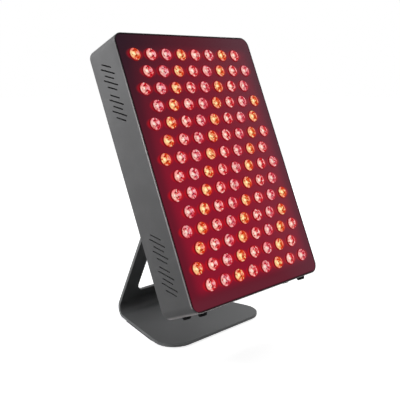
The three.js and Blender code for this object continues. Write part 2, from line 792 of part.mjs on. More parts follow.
// A lobed grip with a round hub towards the bracket and a blind hole for the rod
function knob(side) {
  const steps = knobLobes * knobLobeSteps;
  const points = [];
  for (let i = 0; i < steps; i += 1) {
    const angle = 2 * Math.PI * i / steps;
    const radius = knobDiameter / 2 - knobLobeDepth / 2 * (1 - Math.cos(knobLobes * angle));
    points.push(new THREE.Vector2(radius * Math.cos(angle), radius * Math.sin(angle)));
  }
  const gripInside = knobInside + knobHubDepth;
  const outline = new THREE.Shape(points);
  const grip = new THREE.ExtrudeGeometry(outline, { depth: knobGripDepth, bevelEnabled: false });
  grip.rotateY(Math.PI / 2).translate(gripInside, 0, 0);
  const hub = barAlongX(knobHubDiameter, knobInside, gripInside + knobHubDepth / 2, roundSides);
  const turned = cut(join(grip, hub), rodHole(rodHalfLength + gap));
  return side < 0 ? turned.rotateZ(Math.PI) : turned;
}

// The stand and what stays with it
const stand = new THREE.Group();
stand.add(named('stand_plate', standPlate(), paint));
stand.add(named('base_pad', basePad(), rubber));
const hinge = new THREE.Group();
hinge.position.copy(hingeAxis);
stand.add(hinge);
hinge.add(named('hinge_rod', barAlongX(rodDiameter, -rodHalfLength, rodHalfLength, roundSides), steel));
const innerWasher = barrelLength / 2 + gap;
const outerWasher = earOutside + gap;
hinge.add(named('friction_washer_right', washer(innerWasher), steel));
hinge.add(named('friction_washer_left', washer(-innerWasher - washerThickness), steel));
hinge.add(named('knob_washer_right', washer(outerWasher), steel));
hinge.add(named('knob_washer_left', washer(-outerWasher - washerThickness), steel));
hinge.add(named('knob_right', knob(1), blackPlastic));
hinge.add(named('knob_left', knob(-1), blackPlastic));

// The panel, turned about the hinge axis: its group has the face frame
const panel = new THREE.Group();
panel.rotation.x = Math.PI / 2 - panelLean;
const hingeOnPanel = new THREE.Vector3(0, hingeAboveCentre, -panelDepth - hingeReach);
panel.position.copy(hingeAxis).sub(hingeOnPanel.applyEuler(panel.rotation));
stand.add(panel);
panel.add(named('housing', housing(), paint));
panel.add(named('front_cover', frontCover(), frontPaint));
panel.add(named('rear_cover', rearCover(), paint));
for (let row = 0; row < lampRows; row += 1) {
  const strip = named(`lens_row_${String(row + 1).padStart(2, '0')}`, lensRow(row), clearLens);
  strip.position.y = lampHeight(row);
  panel.add(strip);
}
panel.add(named('led_board', ledBoard(), boardFinish));
panel.add(named('heat_sink', heatSink(), aluminium));
for (const [side, sign] of [['left', -1], ['right', 1]]) {
  const box = named(`led_driver_${side}`, driver(), aluminium);
  box.position.set(sign * driverSpacing / 2, hingeAboveCentre, 0);
  panel.add(box);
}
for (const [place, height] of [['upper', upperFanHeight], ['lower', lowerFanHeight]]) {
  const fan = new THREE.Group();
  fan.position.y = height;
  fan.add(named(`fan_frame_${place}`, fanFrame(), blackPlastic));
  fan.add(named(`fan_rotor_${place}`, fanRotor(), blackPlastic));
  fan.add(named(`fan_guard_${place}`, fanGuard(), guardSteel));
  panel.add(fan);
}
switchPlaces().forEach(([x, y], i) => {
  const place = ['left', 'right'][i];
  const body = named(`switch_body_${place}`, switchBody(), blackPlastic);
  body.position.set(x, y, 0);
  const cap = named(`switch_rocker_${place}`, rockerCap(), rockerRed);
  cap.position.set(x, y, -outsideBack);
  cap.rotation.x = rockerThrow;
  panel.add(body, cap);
});
const inlet = named('power_inlet', powerInlet(), blackPlastic);
inlet.position.set(inletOffset, serviceRowHeight, 0);
panel.add(inlet);
panel.add(named('tilt_bracket', tiltBracket(), paint));
screwPlaces().forEach(([x, y], i) => {
  const screw = named(`bracket_screw_${i + 1}`, bracketScrew(), steel);
  screw.position.set(x, y, 0);
  panel.add(screw);
});
for (const [side, sign] of [['left', -1], ['right', 1]]) {
  for (const [end, depth] of [['front', footEdgeDistance], ['rear', panelDepth - footEdgeDistance]]) {
    const pad = named(`foot_${end}_${side}`, foot().rotateX(-Math.PI / 2), rubber);
    pad.position.set(sign * (panelWidth / 2 - footSideMargin), -panelHeight / 2 - gap, -depth);
    panel.add(pad);
  }
}

// The whole, moved so that the origin is on the ground below the middle of its length
const whole = new THREE.Group();
const lowerFrontEdge = new THREE.Vector3(0, -panelHeight / 2, 0);
lowerFrontEdge.applyEuler(panel.rotation).add(panel.position);
const frontEnd = Math.min(lowerFrontEdge.y, 0);
const backEnd = baseLength + bendOuterRadius;
stand.position.y = -(frontEnd + backEnd) / 2;
whole.add(stand);

export default whole;
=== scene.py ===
"""Looks of a lamp panel on a bent steel stand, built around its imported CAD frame.

The file is laid out as an add-on and is run as a script: main() registers the classes and calls the operators in
order. Objects are in metres in the frame of the CAD, +Z up, with the lamps towards -Y.
"""

import json
import math

import bmesh
import bpy
from bpy.props import FloatProperty, FloatVectorProperty, IntProperty, PointerProperty
from mathutils import Matrix, Vector


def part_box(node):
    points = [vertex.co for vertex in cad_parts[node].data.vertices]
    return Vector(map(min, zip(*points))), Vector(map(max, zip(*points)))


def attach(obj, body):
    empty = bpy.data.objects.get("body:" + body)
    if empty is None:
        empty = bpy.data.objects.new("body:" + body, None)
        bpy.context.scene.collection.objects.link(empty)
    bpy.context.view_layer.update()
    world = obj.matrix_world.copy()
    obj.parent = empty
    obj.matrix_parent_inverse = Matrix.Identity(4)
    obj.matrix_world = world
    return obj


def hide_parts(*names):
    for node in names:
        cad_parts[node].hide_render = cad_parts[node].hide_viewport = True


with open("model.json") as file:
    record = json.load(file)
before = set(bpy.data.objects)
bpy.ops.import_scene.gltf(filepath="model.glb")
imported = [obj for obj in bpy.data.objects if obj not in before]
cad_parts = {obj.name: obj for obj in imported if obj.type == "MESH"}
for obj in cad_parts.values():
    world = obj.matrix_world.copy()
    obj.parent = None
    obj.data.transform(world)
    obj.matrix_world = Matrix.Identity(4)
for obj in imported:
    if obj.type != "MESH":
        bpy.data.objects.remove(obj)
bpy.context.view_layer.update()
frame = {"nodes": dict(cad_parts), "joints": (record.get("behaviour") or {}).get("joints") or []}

bl_info = {
    "name": "Lamp panel",
    "version": (1, 0, 0),
    "blender": (4, 5, 0),
    "location": "View3D > Sidebar > Lamp panel",
    "description": "Models a lamp panel on its tilting stand around the packed frame",
    "category": "Add Mesh",
}

# A millimetre, and the distance below which two places are the same
MM = 0.001
NEAR = 0.01 * MM

# The room of the hinge rod in its bores, and the bore for a screw of the bracket
ROD_ROOM = 0.6 * MM
BRACKET_BORE = 4.6 * MM


# Places that the frame gives


def joint(name):
    """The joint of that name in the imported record."""
    return next(row for row in frame["joints"] if row["name"] == name)


def middle(node):
    """The middle of a CAD node's box."""
    low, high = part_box(node)
    return (low + high) / 2


ACROSS = Vector((1, 0, 0))
OUTWARD = -Vector(joint("fan_upper_spin")["axis"]).normalized()
UPWARD = OUTWARD.cross(ACROSS)
LEAN = math.atan2(OUTWARD.z, -OUTWARD.y)
HINGE = middle("hinge_rod")

# How far the stand's plate turns in its bend, where the arm points after it, in how many steps the bend is made,
# and how much each side of the base and of the arm narrows along the plate
BEND_TURN = math.radians(90 + 20)
UP_ARM = Vector((0, math.cos(BEND_TURN), math.sin(BEND_TURN)))
BEND_STEPS = 12
BASE_TAPER = 0.235
ARM_TAPER = 0.115


# Sizes and colours that a user would change


def length(name, description, millimetres):
    """A length property, with its default in millimetres."""
    return FloatProperty(name=name, description=description, default=millimetres * MM, unit="LENGTH", precision=5)


def turn(name, description, degrees):
    """An angle property, with its default in degrees."""
    return FloatProperty(name=name, description=description, default=math.radians(degrees), subtype="ANGLE")


def power(name, description, watts):
    """A light's power property, with its default in watts."""
    return FloatProperty(name=name, description=description, default=watts, unit="POWER")


def count(name, description, number, least):
    """A whole-number property."""
    return IntProperty(name=name, description=description, default=number, min=least)


def linear(value):
    """The linear share of a display value from 0 to 255."""
    share = value / 255
    return share / 12.92 if share <= 0.04045 else ((share + 0.055) / 1.055) ** 2.4


def shade(red, green, blue):
    """A linear colour from display values."""
    return (linear(red), linear(green), linear(blue), 1)


def tint(name, description, red, green, blue):
    """A colour property, with its default in display values."""
    return FloatVectorProperty(
        name=name, description=description, subtype="COLOR", size=4, min=0, max=1, default=shade(red, green, blue)
    )


class HousingSizes(bpy.types.PropertyGroup):
    """Sizes of the sheet-metal box that holds the lamps."""

    width: length("Width", "Outside width of the housing", 227.6)
    height: length("Height", "Outside height of the housing", 329)
    depth: length("Depth", "Outside depth of the housing", 53)
    corner: length("Corner radius", "Outside radius of the housing's upright corners", 12.5)
    wall: length("Wall", "Thickness of the housing's sheet", 1.5)
    cover: length("Cover", "Thickness of the front and rear covers", 1.5)
    lip: length("Lip", "How far the lips behind the covers reach inwards", 6)
    clearance: length("Clearance", "Room left between parts that only lie side by side", 0.3)
    slot_width: length("Slot width", "Width of a side slot", 1.6)
    slot_short: length("Short slot", "Length of every other slot", 18.2)
    slot_long: length("Long slot", "Length of the slots between them", 27)
    slot_pitch: length("Slot pitch", "Distance between neighbouring slots", 6.85)
    slot_break: length("Slot break", "Distance between two groups of five slots", 9.8)
    slot_height: length("Slot group height", "Height of a group of slots above and below the middle", 102.4)
    slot_turn: turn("Slot turn", "How steeply the slots rise to the back", 32.6)


# Rows are shifted to the left and to the right in turn, by this share of the pitch across
ROW_SHIFT = 0.25


class LampSizes(bpy.types.PropertyGroup):
    """The grid of lamps and the size of a lens."""

    rows: count("Rows", "Number of lamp rows", 14, 1)
    columns: count("Columns", "Number of lamps in a row", 8, 1)
    pitch_across: length("Pitch across", "Distance between the lamps of a row", 24)
    pitch_up: length("Pitch up", "Distance between rows", 21.2)
    diameter: length("Lens diameter", "Outside diameter of a lens", 16.2)
    gap: length("Lens gap", "Room round a lens in its hole", 0.4)
    rise: length("Lens rise", "How far a lens stands out of the front cover", 1.2)
    foot: length("Foot", "Thickness of the strip behind a row of lenses", 3)


class StandSizes(bpy.types.PropertyGroup):
    """Sizes of the bent plate that carries the panel."""

    thickness: length("Thickness", "Thickness of the plate", 4)
    front_width: length("Front width", "Width of the base at its front edge", 186)
    base_length: length("Base length", "Length of the flat base up to the bend", 125.5)
    corner: length("Corner radius", "Radius of the two front corners", 27.5)
    bend: length("Bend radius", "Inside radius of the bend", 11.3)
    arm_length: length("Arm length", "Length of the straight arm up to the hinge", 200)
    sill: length("Window sill", "Distance from the bend to the window", 10.7)
    strip: length("Window strip", "Width of the plate beside the window", 23)
    head: length("Window head", "Length of the plate above the window", 48)
    window_corner: length("Window corner", "Radius of the window's corners", 11)
    barrel: length("Barrel", "Diameter of the hinge barrel", 14)
    rod: length("Rod", "Diameter of the hinge rod", 8)
    knob: length("Knob", "Diameter of a clamp knob over its lobes", 28)
    pad: length("Pad", "Thickness of the rubber pad under the base", 1.2)


class FanSizes(bpy.types.PropertyGroup):
    """Sizes of a fan and its finger guard."""

    side: length("Side", "Side of the square frame", 80)
    depth: length("Depth", "Depth of the frame", 15)
    bore: length("Bore", "Diameter of the frame's air duct", 75)
    hub: length("Hub", "Diameter of the rotor's hub", 34)
    blades: count("Blades", "Number of rotor blades", 7, 3)
    pitch: turn("Blade pitch", "How steeply a blade stands to the plane of the fan", 32)
    wire: length("Guard wire", "Diameter of the guard's wire", 1.8)
    rings: count("Guard rings", "Number of rings round the guard's middle", 3, 1)


class FinishColours(bpy.types.PropertyGroup):
    """Colours of the paints, plastics and lamps, and of the light painted on the housing, the stand and the front
    plate.
    """

    paint: tint("Grey paint", "Powder coat of the stand and the back", 92, 93, 94)
    # The housing's grey is the stand's paint made lighter, as painted light
    shell: tint("Housing paint with painted light", "Powder coat of the housing, lighter than the stand's as painted light", 124, 124, 125)
    # Painted highlight: a paler grey laid along the housing's front edge and on its lower corners
    painted_highlight: tint("Edge highlight", "Painted highlight along the housing's front edge and lower corners", 248, 240, 241)
    # Painted highlight: the cut edges' paler grey is a lit copy of the stand's paint
    edge: tint("Cut edge highlight", "Painted highlight on the cut edges of the stand", 154, 155, 156)
    plate: tint("Front plate", "Lacquer of the front plate away from the lamps", 14, 10, 12)
    plum: tint("Unlit plate", "Light on the front plate far from the lamps", 38, 22, 33)
    glow: tint("Glow", "Red light on the front plate among the lamps", 137, 20, 43)
    halo: tint("Halo", "Red light on the front plate beside a lamp", 194, 18, 28)
    amber: tint("Amber lamp", "Mean light of an amber lamp", 232, 108, 78)
    red: tint("Red lamp", "Mean light of a red lamp", 227, 92, 94)
    pale: tint("Pale lamp", "Tint of a pale lamp", 228, 158, 188)
    plastic: tint("Plastic", "Moulded plastic of knobs, fans and sockets", 30, 30, 32)
    rubber: tint("Rubber", "Rubber of the feet and the base pad", 20, 20, 21)
    steel: tint("Steel", "Zinc-plated steel of screws, rod and washers", 176, 178, 180)
    rocker: tint("Rocker", "Rockers of the two switches", 142, 20, 22)


class StageLook(bpy.types.PropertyGroup):
    """Light and floor of the studio."""

    key: power("Key light", "Power of the soft light from the left", 1.3)
    side: power("Side light", "Power of the small light beside the housing", 0.52)
    top: power("Top light", "Power of the soft light from above", 0.8)
    fill: power("Fill light", "Power of the soft light from the right", 8.8)
    room: FloatProperty(name="Room light", description="Level of the light from all round", default=0.05, min=0)
    floor: tint("Floor", "Colour of the floor", 212, 212, 212)
    focal: FloatProperty(name="Focal length", description="Focal length of the lens, in millimetres", default=57.94)
    place: FloatVectorProperty(
        name="Camera place",
        description="Where the camera stands",
        subtype="TRANSLATION",
        default=(-0.5667, -0.5718, 0.3347),
    )
    aim: FloatVectorProperty(
        name="Camera turn",
        description="How the camera is turned",
        subtype="EULER",
        default=(math.radians(78.348), 0, math.radians(-44.585)),
    )


# Depths behind the lamp face


class Depths:
    """Depths behind the lamp face, from what the housing holds."""

    def __init__(self, scene):
        box = scene.housing_sizes
        lamps = scene.lamp_sizes
        fan = scene.fan_sizes
        self.sheet = box.cover + box.clearance
        self.rear_cover = box.depth - box.cover
        self.rear_lip = self.rear_cover - box.clearance - box.cover
        self.foot_back = self.sheet + lamps.foot
        self.fan_back = self.rear_cover - box.clearance
        self.fan_front = self.fan_back - fan.depth
        self.outside = box.depth + box.clearance


def face_place(scene):
    """The frame of the lamp face: X to the right, Y up the panel, Z out of the lamps."""
    centre = middle("front_cover") + OUTWARD * scene.housing_sizes.cover / 2
    axes = Matrix((ACROSS, UPWARD, OUTWARD)).transposed().to_4x4()
    return Matrix.Translation(centre) @ axes


def on_face(scene, point):
    """A point of the shared frame in the frame of the lamp face."""
    return face_place(scene).inverted() @ Vector(point)


def arm_place(scene):
    """The frame of the arm: X across, Y up the arm, Z out of its outer face towards the panel."""
    stand = scene.stand_sizes
    turned = Matrix.Rotation(BEND_TURN, 4, "X")
    along = turned @ Vector((0, 1, 0))
    inward = turned @ Vector((0, 0, 1))
    foot = HINGE - along * stand.arm_length - inward * stand.thickness / 2
    return Matrix.Translation(foot) @ turned


# Modelling by hand


def deselect():
    """Leave edit mode and select nothing."""
    if bpy.context.object and bpy.context.object.mode != "OBJECT":
        bpy.ops.object.mode_set(mode="OBJECT")
    bpy.ops.object.select_all(action="DESELECT")


def take(piece):
    """Select one piece alone and make it the active one."""
    deselect()
    piece.select_set(True)
    bpy.context.view_layer.objects.active = piece
    return piece


def second_finish(piece, main, other, test):
    """Give a piece its finish, and another finish to the faces that pass the test."""
    piece.data.materials.append(main)
    piece.data.materials.append(other)
    pick(piece, "FACE", test)
    piece.active_material_index = 1
    bpy.ops.object.material_slot_assign()
    return done(piece)


def settle(piece, place=None):
    """Put a piece in its place and move that place into its mesh."""
    take(piece)
    if place is not None:
        piece.matrix_world = place @ piece.matrix_world
    bpy.ops.object.transform_apply(location=True, rotation=True, scale=True)
    return piece


def named(name):
    """Name the primitive that was just added, with its place in its mesh."""
    piece = bpy.context.object
    piece.name = name
    piece.data.name = name
    return settle(piece)


def block(name, size, centre=(0, 0, 0)):
    """A box of that size round its centre."""
    deselect()
    bpy.ops.mesh.primitive_cube_add(size=1, location=centre)
    bpy.context.object.scale = size
    return named(name)


def disc(name, diameter, front, back, x=0.0, y=0.0, sides=32):
    """A round bar along the face's Z between two depths."""
    deselect()
    bpy.ops.mesh.primitive_cylinder_add(
        vertices=sides, radius=diameter / 2, depth=back - front, location=(x, y, -(front + back) / 2)
    )
    return named(name)


def bar(name, diameter, start, end, sides=32):
    """A round bar along X."""
    deselect()
    bpy.ops.mesh.primitive_cylinder_add(
        vertices=sides,
        radius=diameter / 2,
        depth=end - start,
        location=((start + end) / 2, 0, 0),
        rotation=(0, math.pi / 2, 0),
    )
    return named(name)


def ring(name, diameter, wire, depth, x=0.0, y=0.0, sides=48):
    """A ring of round wire that lies across the face's Z, by its outside diameter."""
    deselect()
    bpy.ops.mesh.primitive_torus_add(
        major_radius=(diameter - wire) / 2,
        minor_radius=wire / 2,
        major_segments=sides,
        minor_segments=8,
        location=(x, y, -depth),
    )
    return named(name)


def pick(piece, kind, test):
    """In edit mode, select the vertices, edges or faces that pass the test."""
    take(piece)
    bpy.ops.object.mode_set(mode="EDIT")
    bpy.ops.mesh.select_mode(type=kind)
    bpy.ops.mesh.select_all(action="DESELECT")
    shape = bmesh.from_edit_mesh(piece.data)
    shape.normal_update()
    items = {"VERT": shape.verts, "EDGE": shape.edges, "FACE": shape.faces}[kind]
    for item in [item for item in items if test(item)]:
        item.select_set(True)
    shape.select_flush_mode()
    bmesh.update_edit_mesh(piece.data)


def done(piece, outwards=False):
    """Leave edit mode, with the normals turned outwards if asked."""
    if outwards:
        bpy.ops.mesh.select_all(action="SELECT")
        bpy.ops.mesh.remove_doubles(threshold=NEAR)
        bpy.ops.mesh.normals_make_consistent(inside=False)
    bpy.ops.object.mode_set(mode="OBJECT")
    return piece


def bevelled(piece, test, width, segments=1):
    """Bevel the edges that pass the test."""
    pick(piece, "EDGE", test)
    bpy.ops.mesh.bevel(offset=width, segments=segments, affect="EDGES")
    return done(piece)


def divided(piece, cuts):
    """Divide the edges that run along Y."""
    pick(piece, "EDGE", lambda edge: abs(edge.verts[0].co.y - edge.verts[1].co.y) > NEAR)
    bpy.ops.mesh.subdivide(number_cuts=cuts)
    return done(piece)


def moved(piece, test, shift):
    """Move the vertices that pass the test along Z."""
    pick(piece, "VERT", test)
    bpy.ops.transform.translate(value=(0, 0, shift))
    return done(piece)


def stretched(piece, test, factors):
    """Scale the vertices that pass the test about their middle."""
    pick(piece, "VERT", test)
    bpy.ops.transform.resize(value=factors)
    return done(piece)


def upright(edge):
    """Whether an edge runs along Z."""
    run = edge.verts[0].co - edge.verts[1].co
    return abs(run.z) > NEAR and abs(run.x) < NEAR and abs(run.y) < NEAR


def along_x(edge):
    """Whether an edge runs along X."""
    run = edge.verts[0].co - edge.verts[1].co
    return abs(run.x) > NEAR and abs(run.y) < NEAR and abs(run.z) < NEAR


def upright_before(front):
    """A test for the upright edges at that Y or before it."""
    return lambda edge: upright(edge) and edge.verts[0].co.y < front + NEAR


def upright_behind(back):
    """A test for the upright edges at that Y or behind it."""
    return lambda edge: upright(edge) and edge.verts[0].co.y > back - NEAR


def rim_at(depth):
    """A test for edges whose ends lie as deep as that or deeper."""
    return lambda edge: all(vertex.co.z < -depth + NEAR for vertex in edge.verts)


def faces_to(direction):
    """A test for faces that look in a direction."""
    wanted = Vector(direction)
    return lambda face: face.normal.dot(wanted) > 0.99


def rounded_block(name, width, height, radius, front, back, x=0.0, y=0.0, segments=6):
    """A slab across the face's Z between two depths, with its upright edges rounded."""
    piece = block(name, (width, height, back - front), (x, y, -(front + back) / 2))
    return bevelled(piece, upright, radius, segments)


def copied(piece, name):
    """A copy of a piece with its own mesh."""
    twin = piece.copy()
    twin.data = piece.data.copy()
    twin.name = name
    twin.data.name = name
    bpy.context.scene.collection.objects.link(twin)
    return twin


def set_out(model, name, places):
    """Copies of a model, each moved to an X and a Y."""
    return [settle(copied(model, name), Matrix.Translation((x, y, 0))) for x, y in places]


def corners(reach):
    """The four corners of a square, by half its side."""
    return [(x, y) for x in (-reach, reach) for y in (-reach, reach)]


def joined(name, pieces):
    """Several pieces as one object."""
    take(pieces[0])
    for piece in pieces[1:]:
        piece.select_set(True)
    if len(pieces) > 1:
        bpy.ops.object.join()
    whole = bpy.context.view_layer.objects.active
    whole.name = name
    whole.data.name = name
    return whole


def combine(piece, tool, operation):
    """Apply a boolean modifier with a tool, and remove the tool."""
    take(piece)
    change = piece.modifiers.new("Change", "BOOLEAN")
    change.operation = operation
    change.solver = "EXACT"
    change.object = tool
    bpy.ops.object.modifier_apply(modifier=change.name)
    bpy.data.objects.remove(tool)
    return piece


def cut(piece, *tools):
    """Cut tools out of a piece, one after the other."""
    for tool in tools:
        combine(piece, tool, "DIFFERENCE")
    return piece


def weld(piece, *others):
    """Unite pieces into one closed body."""
    for other in others:
        combine(piece, other, "UNION")
    return piece


def rod_bore(scene, start, end):
    """The tool for a bore that the hinge rod passes through."""
    return bar("bore", scene.stand_sizes.rod + ROD_ROOM, start, end, 32)


def soften(piece, width, segments=2, angle=38.0):
    """Round the sharp edges of a piece a little, and shade it with flat faces left flat."""
    take(piece)
    edges = piece.modifiers.new("Edges", "BEVEL")
    edges.width = width
    edges.segments = segments
    edges.limit_method = "ANGLE"
    edges.angle_limit = math.radians(angle)
    bpy.ops.object.modifier_apply(modifier=edges.name)
    return smooth(piece, angle)


def shaded(piece, angle):
    """Shade a piece smooth below an angle."""
    take(piece)
    bpy.ops.object.shade_smooth_by_angle(angle=math.radians(angle))
    return piece


def smooth(piece, angle=38.0):
    """Shade a piece smooth below an angle, with flat faces left flat."""
    shaded(piece, angle)
    weights = piece.modifiers.new("Flat faces", "WEIGHTED_NORMAL")
    weights.keep_sharp = True
    bpy.ops.object.modifier_apply(modifier=weights.name)
    return piece


def fit(piece, place, finish, body, slot, *stands_for):
    """Put a finished piece in its place, give it its finish, and let it ride on its body."""
    settle(piece, place)
    if finish is not None:
        piece.data.materials.append(finish)
    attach(piece, body)
    if stands_for:
        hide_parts(*stands_for)
    return piece


# Finishes


class Wiring:
    """Adds nodes to a shader tree and links them."""

    def __init__(self, tree):
        self.tree = tree

    def put(self, socket, value):
        """Link an output to a socket, or set the socket's own value."""
        if isinstance(value, bpy.types.NodeSocket):
            self.tree.links.new(value, socket)
        else:
            socket.default_value = value

    def add(self, kind, values=None, **settings):
        """A node with its settings and its input values."""
        node = self.tree.nodes.new(kind)
        for name, value in settings.items():
            setattr(node, name, value)
        for name, value in (values or {}).items():
            self.put(node.inputs[name], value)
        return node

    def math(self, operation, *values):
        """The output of a Math node."""
        node = self.add("ShaderNodeMath", operation=operation)
        for socket, value in zip(node.inputs, values):
            self.put(socket, value)
        return node.outputs[0]

    def plus(self, first, second):
        """The sum of two values."""
        return self.math("ADD", first, second)

    def minus(self, first, second):
        """The first value less the second."""
        return self.math("SUBTRACT", first, second)

    def times(self, first, second):
        """The product of two values."""
        return self.math("MULTIPLY", first, second)

    def larger(self, first, second):
        """The larger of two values."""
        return self.math("MAXIMUM", first, second)

    def smaller(self, first, second):
        """The smaller of two values."""
        return self.math("MINIMUM", first, second)

    def clamped(self, value, most):
        """A value held between zero and the most it may be."""
        return self.smaller(self.larger(value, 0.0), float(most))

    def reach(self, first, second):
        """How far a point lies from the origin, by its two coordinates."""
        return self.math("SQRT", self.plus(self.math("POWER", first, 2.0), self.math("POWER", second, 2.0)))

    def vector_length(self, vector):
        """The length of a vector."""
        node = self.add("ShaderNodeVectorMath", operation="LENGTH")
        self.put(node.inputs[0], vector)
        return node.outputs["Value"]

    def toned(self, colour, value=1.0, saturation=1.0):
        """A colour with its brightness and its saturation changed."""
        values = {"Color": colour, "Value": value, "Saturation": saturation}
        return self.add("ShaderNodeHueSaturation", values).outputs[0]

    def bump(self, strength, depth, height):
        """The normal that a height map gives."""
        values = {"Strength": strength, "Distance": depth, "Height": height}
        return self.add("ShaderNodeBump", values).outputs[0]

    def mixed(self, share, first, second):
        """The output of a colour Mix node."""
        node = self.add("ShaderNodeMix", data_type="RGBA")
        for index, value in ((0, share), (6, first), (7, second)):
            self.put(node.inputs[index], value)
        return node.outputs[2]

    def ramped(self, value, start, end, low=0.0, high=1.0):
        """A value eased from one range to another."""
        node = self.add(
            "ShaderNodeMapRange",
            {"Value": value, "From Min": start, "From Max": end, "To Min": low, "To Max": high},
            interpolation_type="SMOOTHSTEP",
        )
        return node.outputs["Result"]

    def noise(self, point, scale, detail=2.0, roughness=0.5):
        """The value of a noise texture."""
        node = self.add(
            "ShaderNodeTexNoise", {"Vector": point, "Scale": scale, "Detail": detail, "Roughness": roughness}
        )
        return node.outputs[0]

    def group(self, tree, **values):
        """A node that holds a node group."""
        node = self.add("ShaderNodeGroup", node_tree=tree)
        for name, value in values.items():
            self.put(node.inputs[name.replace("_", " ")], value)
        return node


def effect(name, takes, gives):
    """An empty node group with named inputs and outputs, and the wiring to fill it."""
    tree = bpy.data.node_groups.new(name, "ShaderNodeTree")
    for title, kind, default in takes:
        socket = tree.interface.new_socket(name=title, in_out="INPUT", socket_type=kind)
        if default is not None:
            socket.default_value = default
    for title, kind in gives:
        tree.interface.new_socket(name=title, in_out="OUTPUT", socket_type=kind)
    wiring = Wiring(tree)
    return tree, wiring, wiring.add("NodeGroupInput").outputs, wiring.add("NodeGroupOutput").inputs


VALUE, COLOUR, VECTOR = "NodeSocketFloat", "NodeSocketColor", "NodeSocketVector"
SKIN = [("Colour", COLOUR), ("Roughness", VALUE), ("Normal", VECTOR)]


def numbers(*titles):
    """Inputs that take a number."""
    return [(title, VALUE, 0.0) for title in titles]


def put_skin(wires, result, colour, roughness, normal):
    """Link the three outputs of a surface effect."""
    for title, value in (("Colour", colour), ("Roughness", roughness), ("Normal", normal)):
        wires.put(result[title], value)


def face_parts(scene, wires, point):
    """X, Y and Z of a point in the frame of the lamp face."""
    to_face = wires.add("ShaderNodeMapping", {"Vector": point}, vector_type="TEXTURE")
    to_face.inputs["Location"].default_value = face_place(scene).translation
    to_face.inputs["Rotation"].default_value = (math.pi / 2 - LEAN, 0, 0)
    return wires.add("ShaderNodeSeparateXYZ", {"Vector": to_face.outputs[0]}).outputs


def coat_effect():
    """Powder coat: a fine orange-peel skin, a faint cloudiness and a little dust, and a painted highlight in a
    paler colour where a mask asks for it.
    """
    tree, wires, given, result = effect(
        "Powder coat",
        [
            ("Point", VECTOR, None),
            ("Colour", COLOUR, (0.1, 0.1, 0.1, 1)),
            ("Grain", VALUE, 1400.0),
            ("Depth", VALUE, 0.25),
            ("Gloss", VALUE, 0.5),
            ("Wear", VALUE, 0.0),
            ("Worn colour", COLOUR, (0.4, 0.4, 0.4, 1)),
        ],
        SKIN,
    )
    peel = wires.noise(given["Point"], given["Grain"], 2.0, 0.55)
    cloud = wires.noise(given["Point"], 22.0, 3.0)
    speck = wires.noise(given["Point"], 5200.0, 1.0)
    darker = wires.toned(given["Colour"], 0.9)
    paler = wires.toned(given["Colour"], 1.1)
    share = wires.ramped(wires.plus(cloud, wires.times(speck, 0.35)), 0.45, 0.9)
    # Painted highlight, a little patchy, where the mask asks for it
    painted_highlight = wires.times(given["Wear"], wires.ramped(cloud, 0.2, 0.6, 0.6, 1.0))
    put_skin(
        wires,
        result,
        wires.mixed(painted_highlight, wires.mixed(share, darker, paler), given["Worn colour"]),
        wires.plus(given["Gloss"], wires.ramped(cloud, 0.3, 0.7, -0.05, 0.05)),
        wires.bump(given["Depth"], 0.05 * MM, peel),
    )
    return tree


def grain_effect():
    """Moulded grain of plastic and rubber, with faint rubbed patches."""
    tree, wires, given, result = effect(
        "Moulded grain",
        [
            ("Point", VECTOR, None),
            ("Colour", COLOUR, (0.01, 0.01, 0.01, 1)),
            ("Grain", VALUE, 2600.0),
            ("Depth", VALUE, 0.3),
            ("Gloss", VALUE, 0.45),
        ],
        SKIN,
    )
    cells = wires.add("ShaderNodeTexVoronoi", {"Vector": given["Point"], "Scale": given["Grain"]})
    patch = wires.noise(given["Point"], 90.0, 3.0)
    put_skin(
        wires,
        result,
        wires.mixed(wires.ramped(patch, 0.45, 0.75), given["Colour"], wires.toned(given["Colour"], 1.45)),
        wires.plus(given["Gloss"], wires.ramped(patch, 0.3, 0.7, -0.07, 0.07)),
        wires.bump(given["Depth"], 0.06 * MM, cells.outputs["Distance"]),
    )
    return tree


def brushed_effect():
    """Lines of turned, drawn or brushed metal, stretched along one direction."""
    tree, wires, given, result = effect(
        "Brushed lines",
        [
            ("Point", VECTOR, None),
            ("Stretch", VECTOR, (1.0, 1.0, 1.0)),
            ("Colour", COLOUR, (0.5, 0.5, 0.5, 1)),
            ("Gloss", VALUE, 0.35),
        ],
        SKIN,
    )
    drawn = wires.add("ShaderNodeVectorMath", operation="MULTIPLY")
    wires.put(drawn.inputs[0], given["Point"])
    wires.put(drawn.inputs[1], given["Stretch"])
    lines = wires.noise(drawn.outputs[0], 1.0, 3.0, 0.6)
    stain = wires.noise(given["Point"], 60.0, 3.0)
    share = wires.plus(wires.times(lines, 0.7), wires.times(stain, 0.4))
    put_skin(
        wires,
        result,
        wires.mixed(wires.ramped(share, 0.3, 0.75), wires.toned(given["Colour"], 0.72), given["Colour"]),
        wires.plus(given["Gloss"], wires.ramped(lines, 0.3, 0.7, -0.08, 0.12)),
        wires.bump(0.2, 0.03 * MM, lines),
    )
    return tree


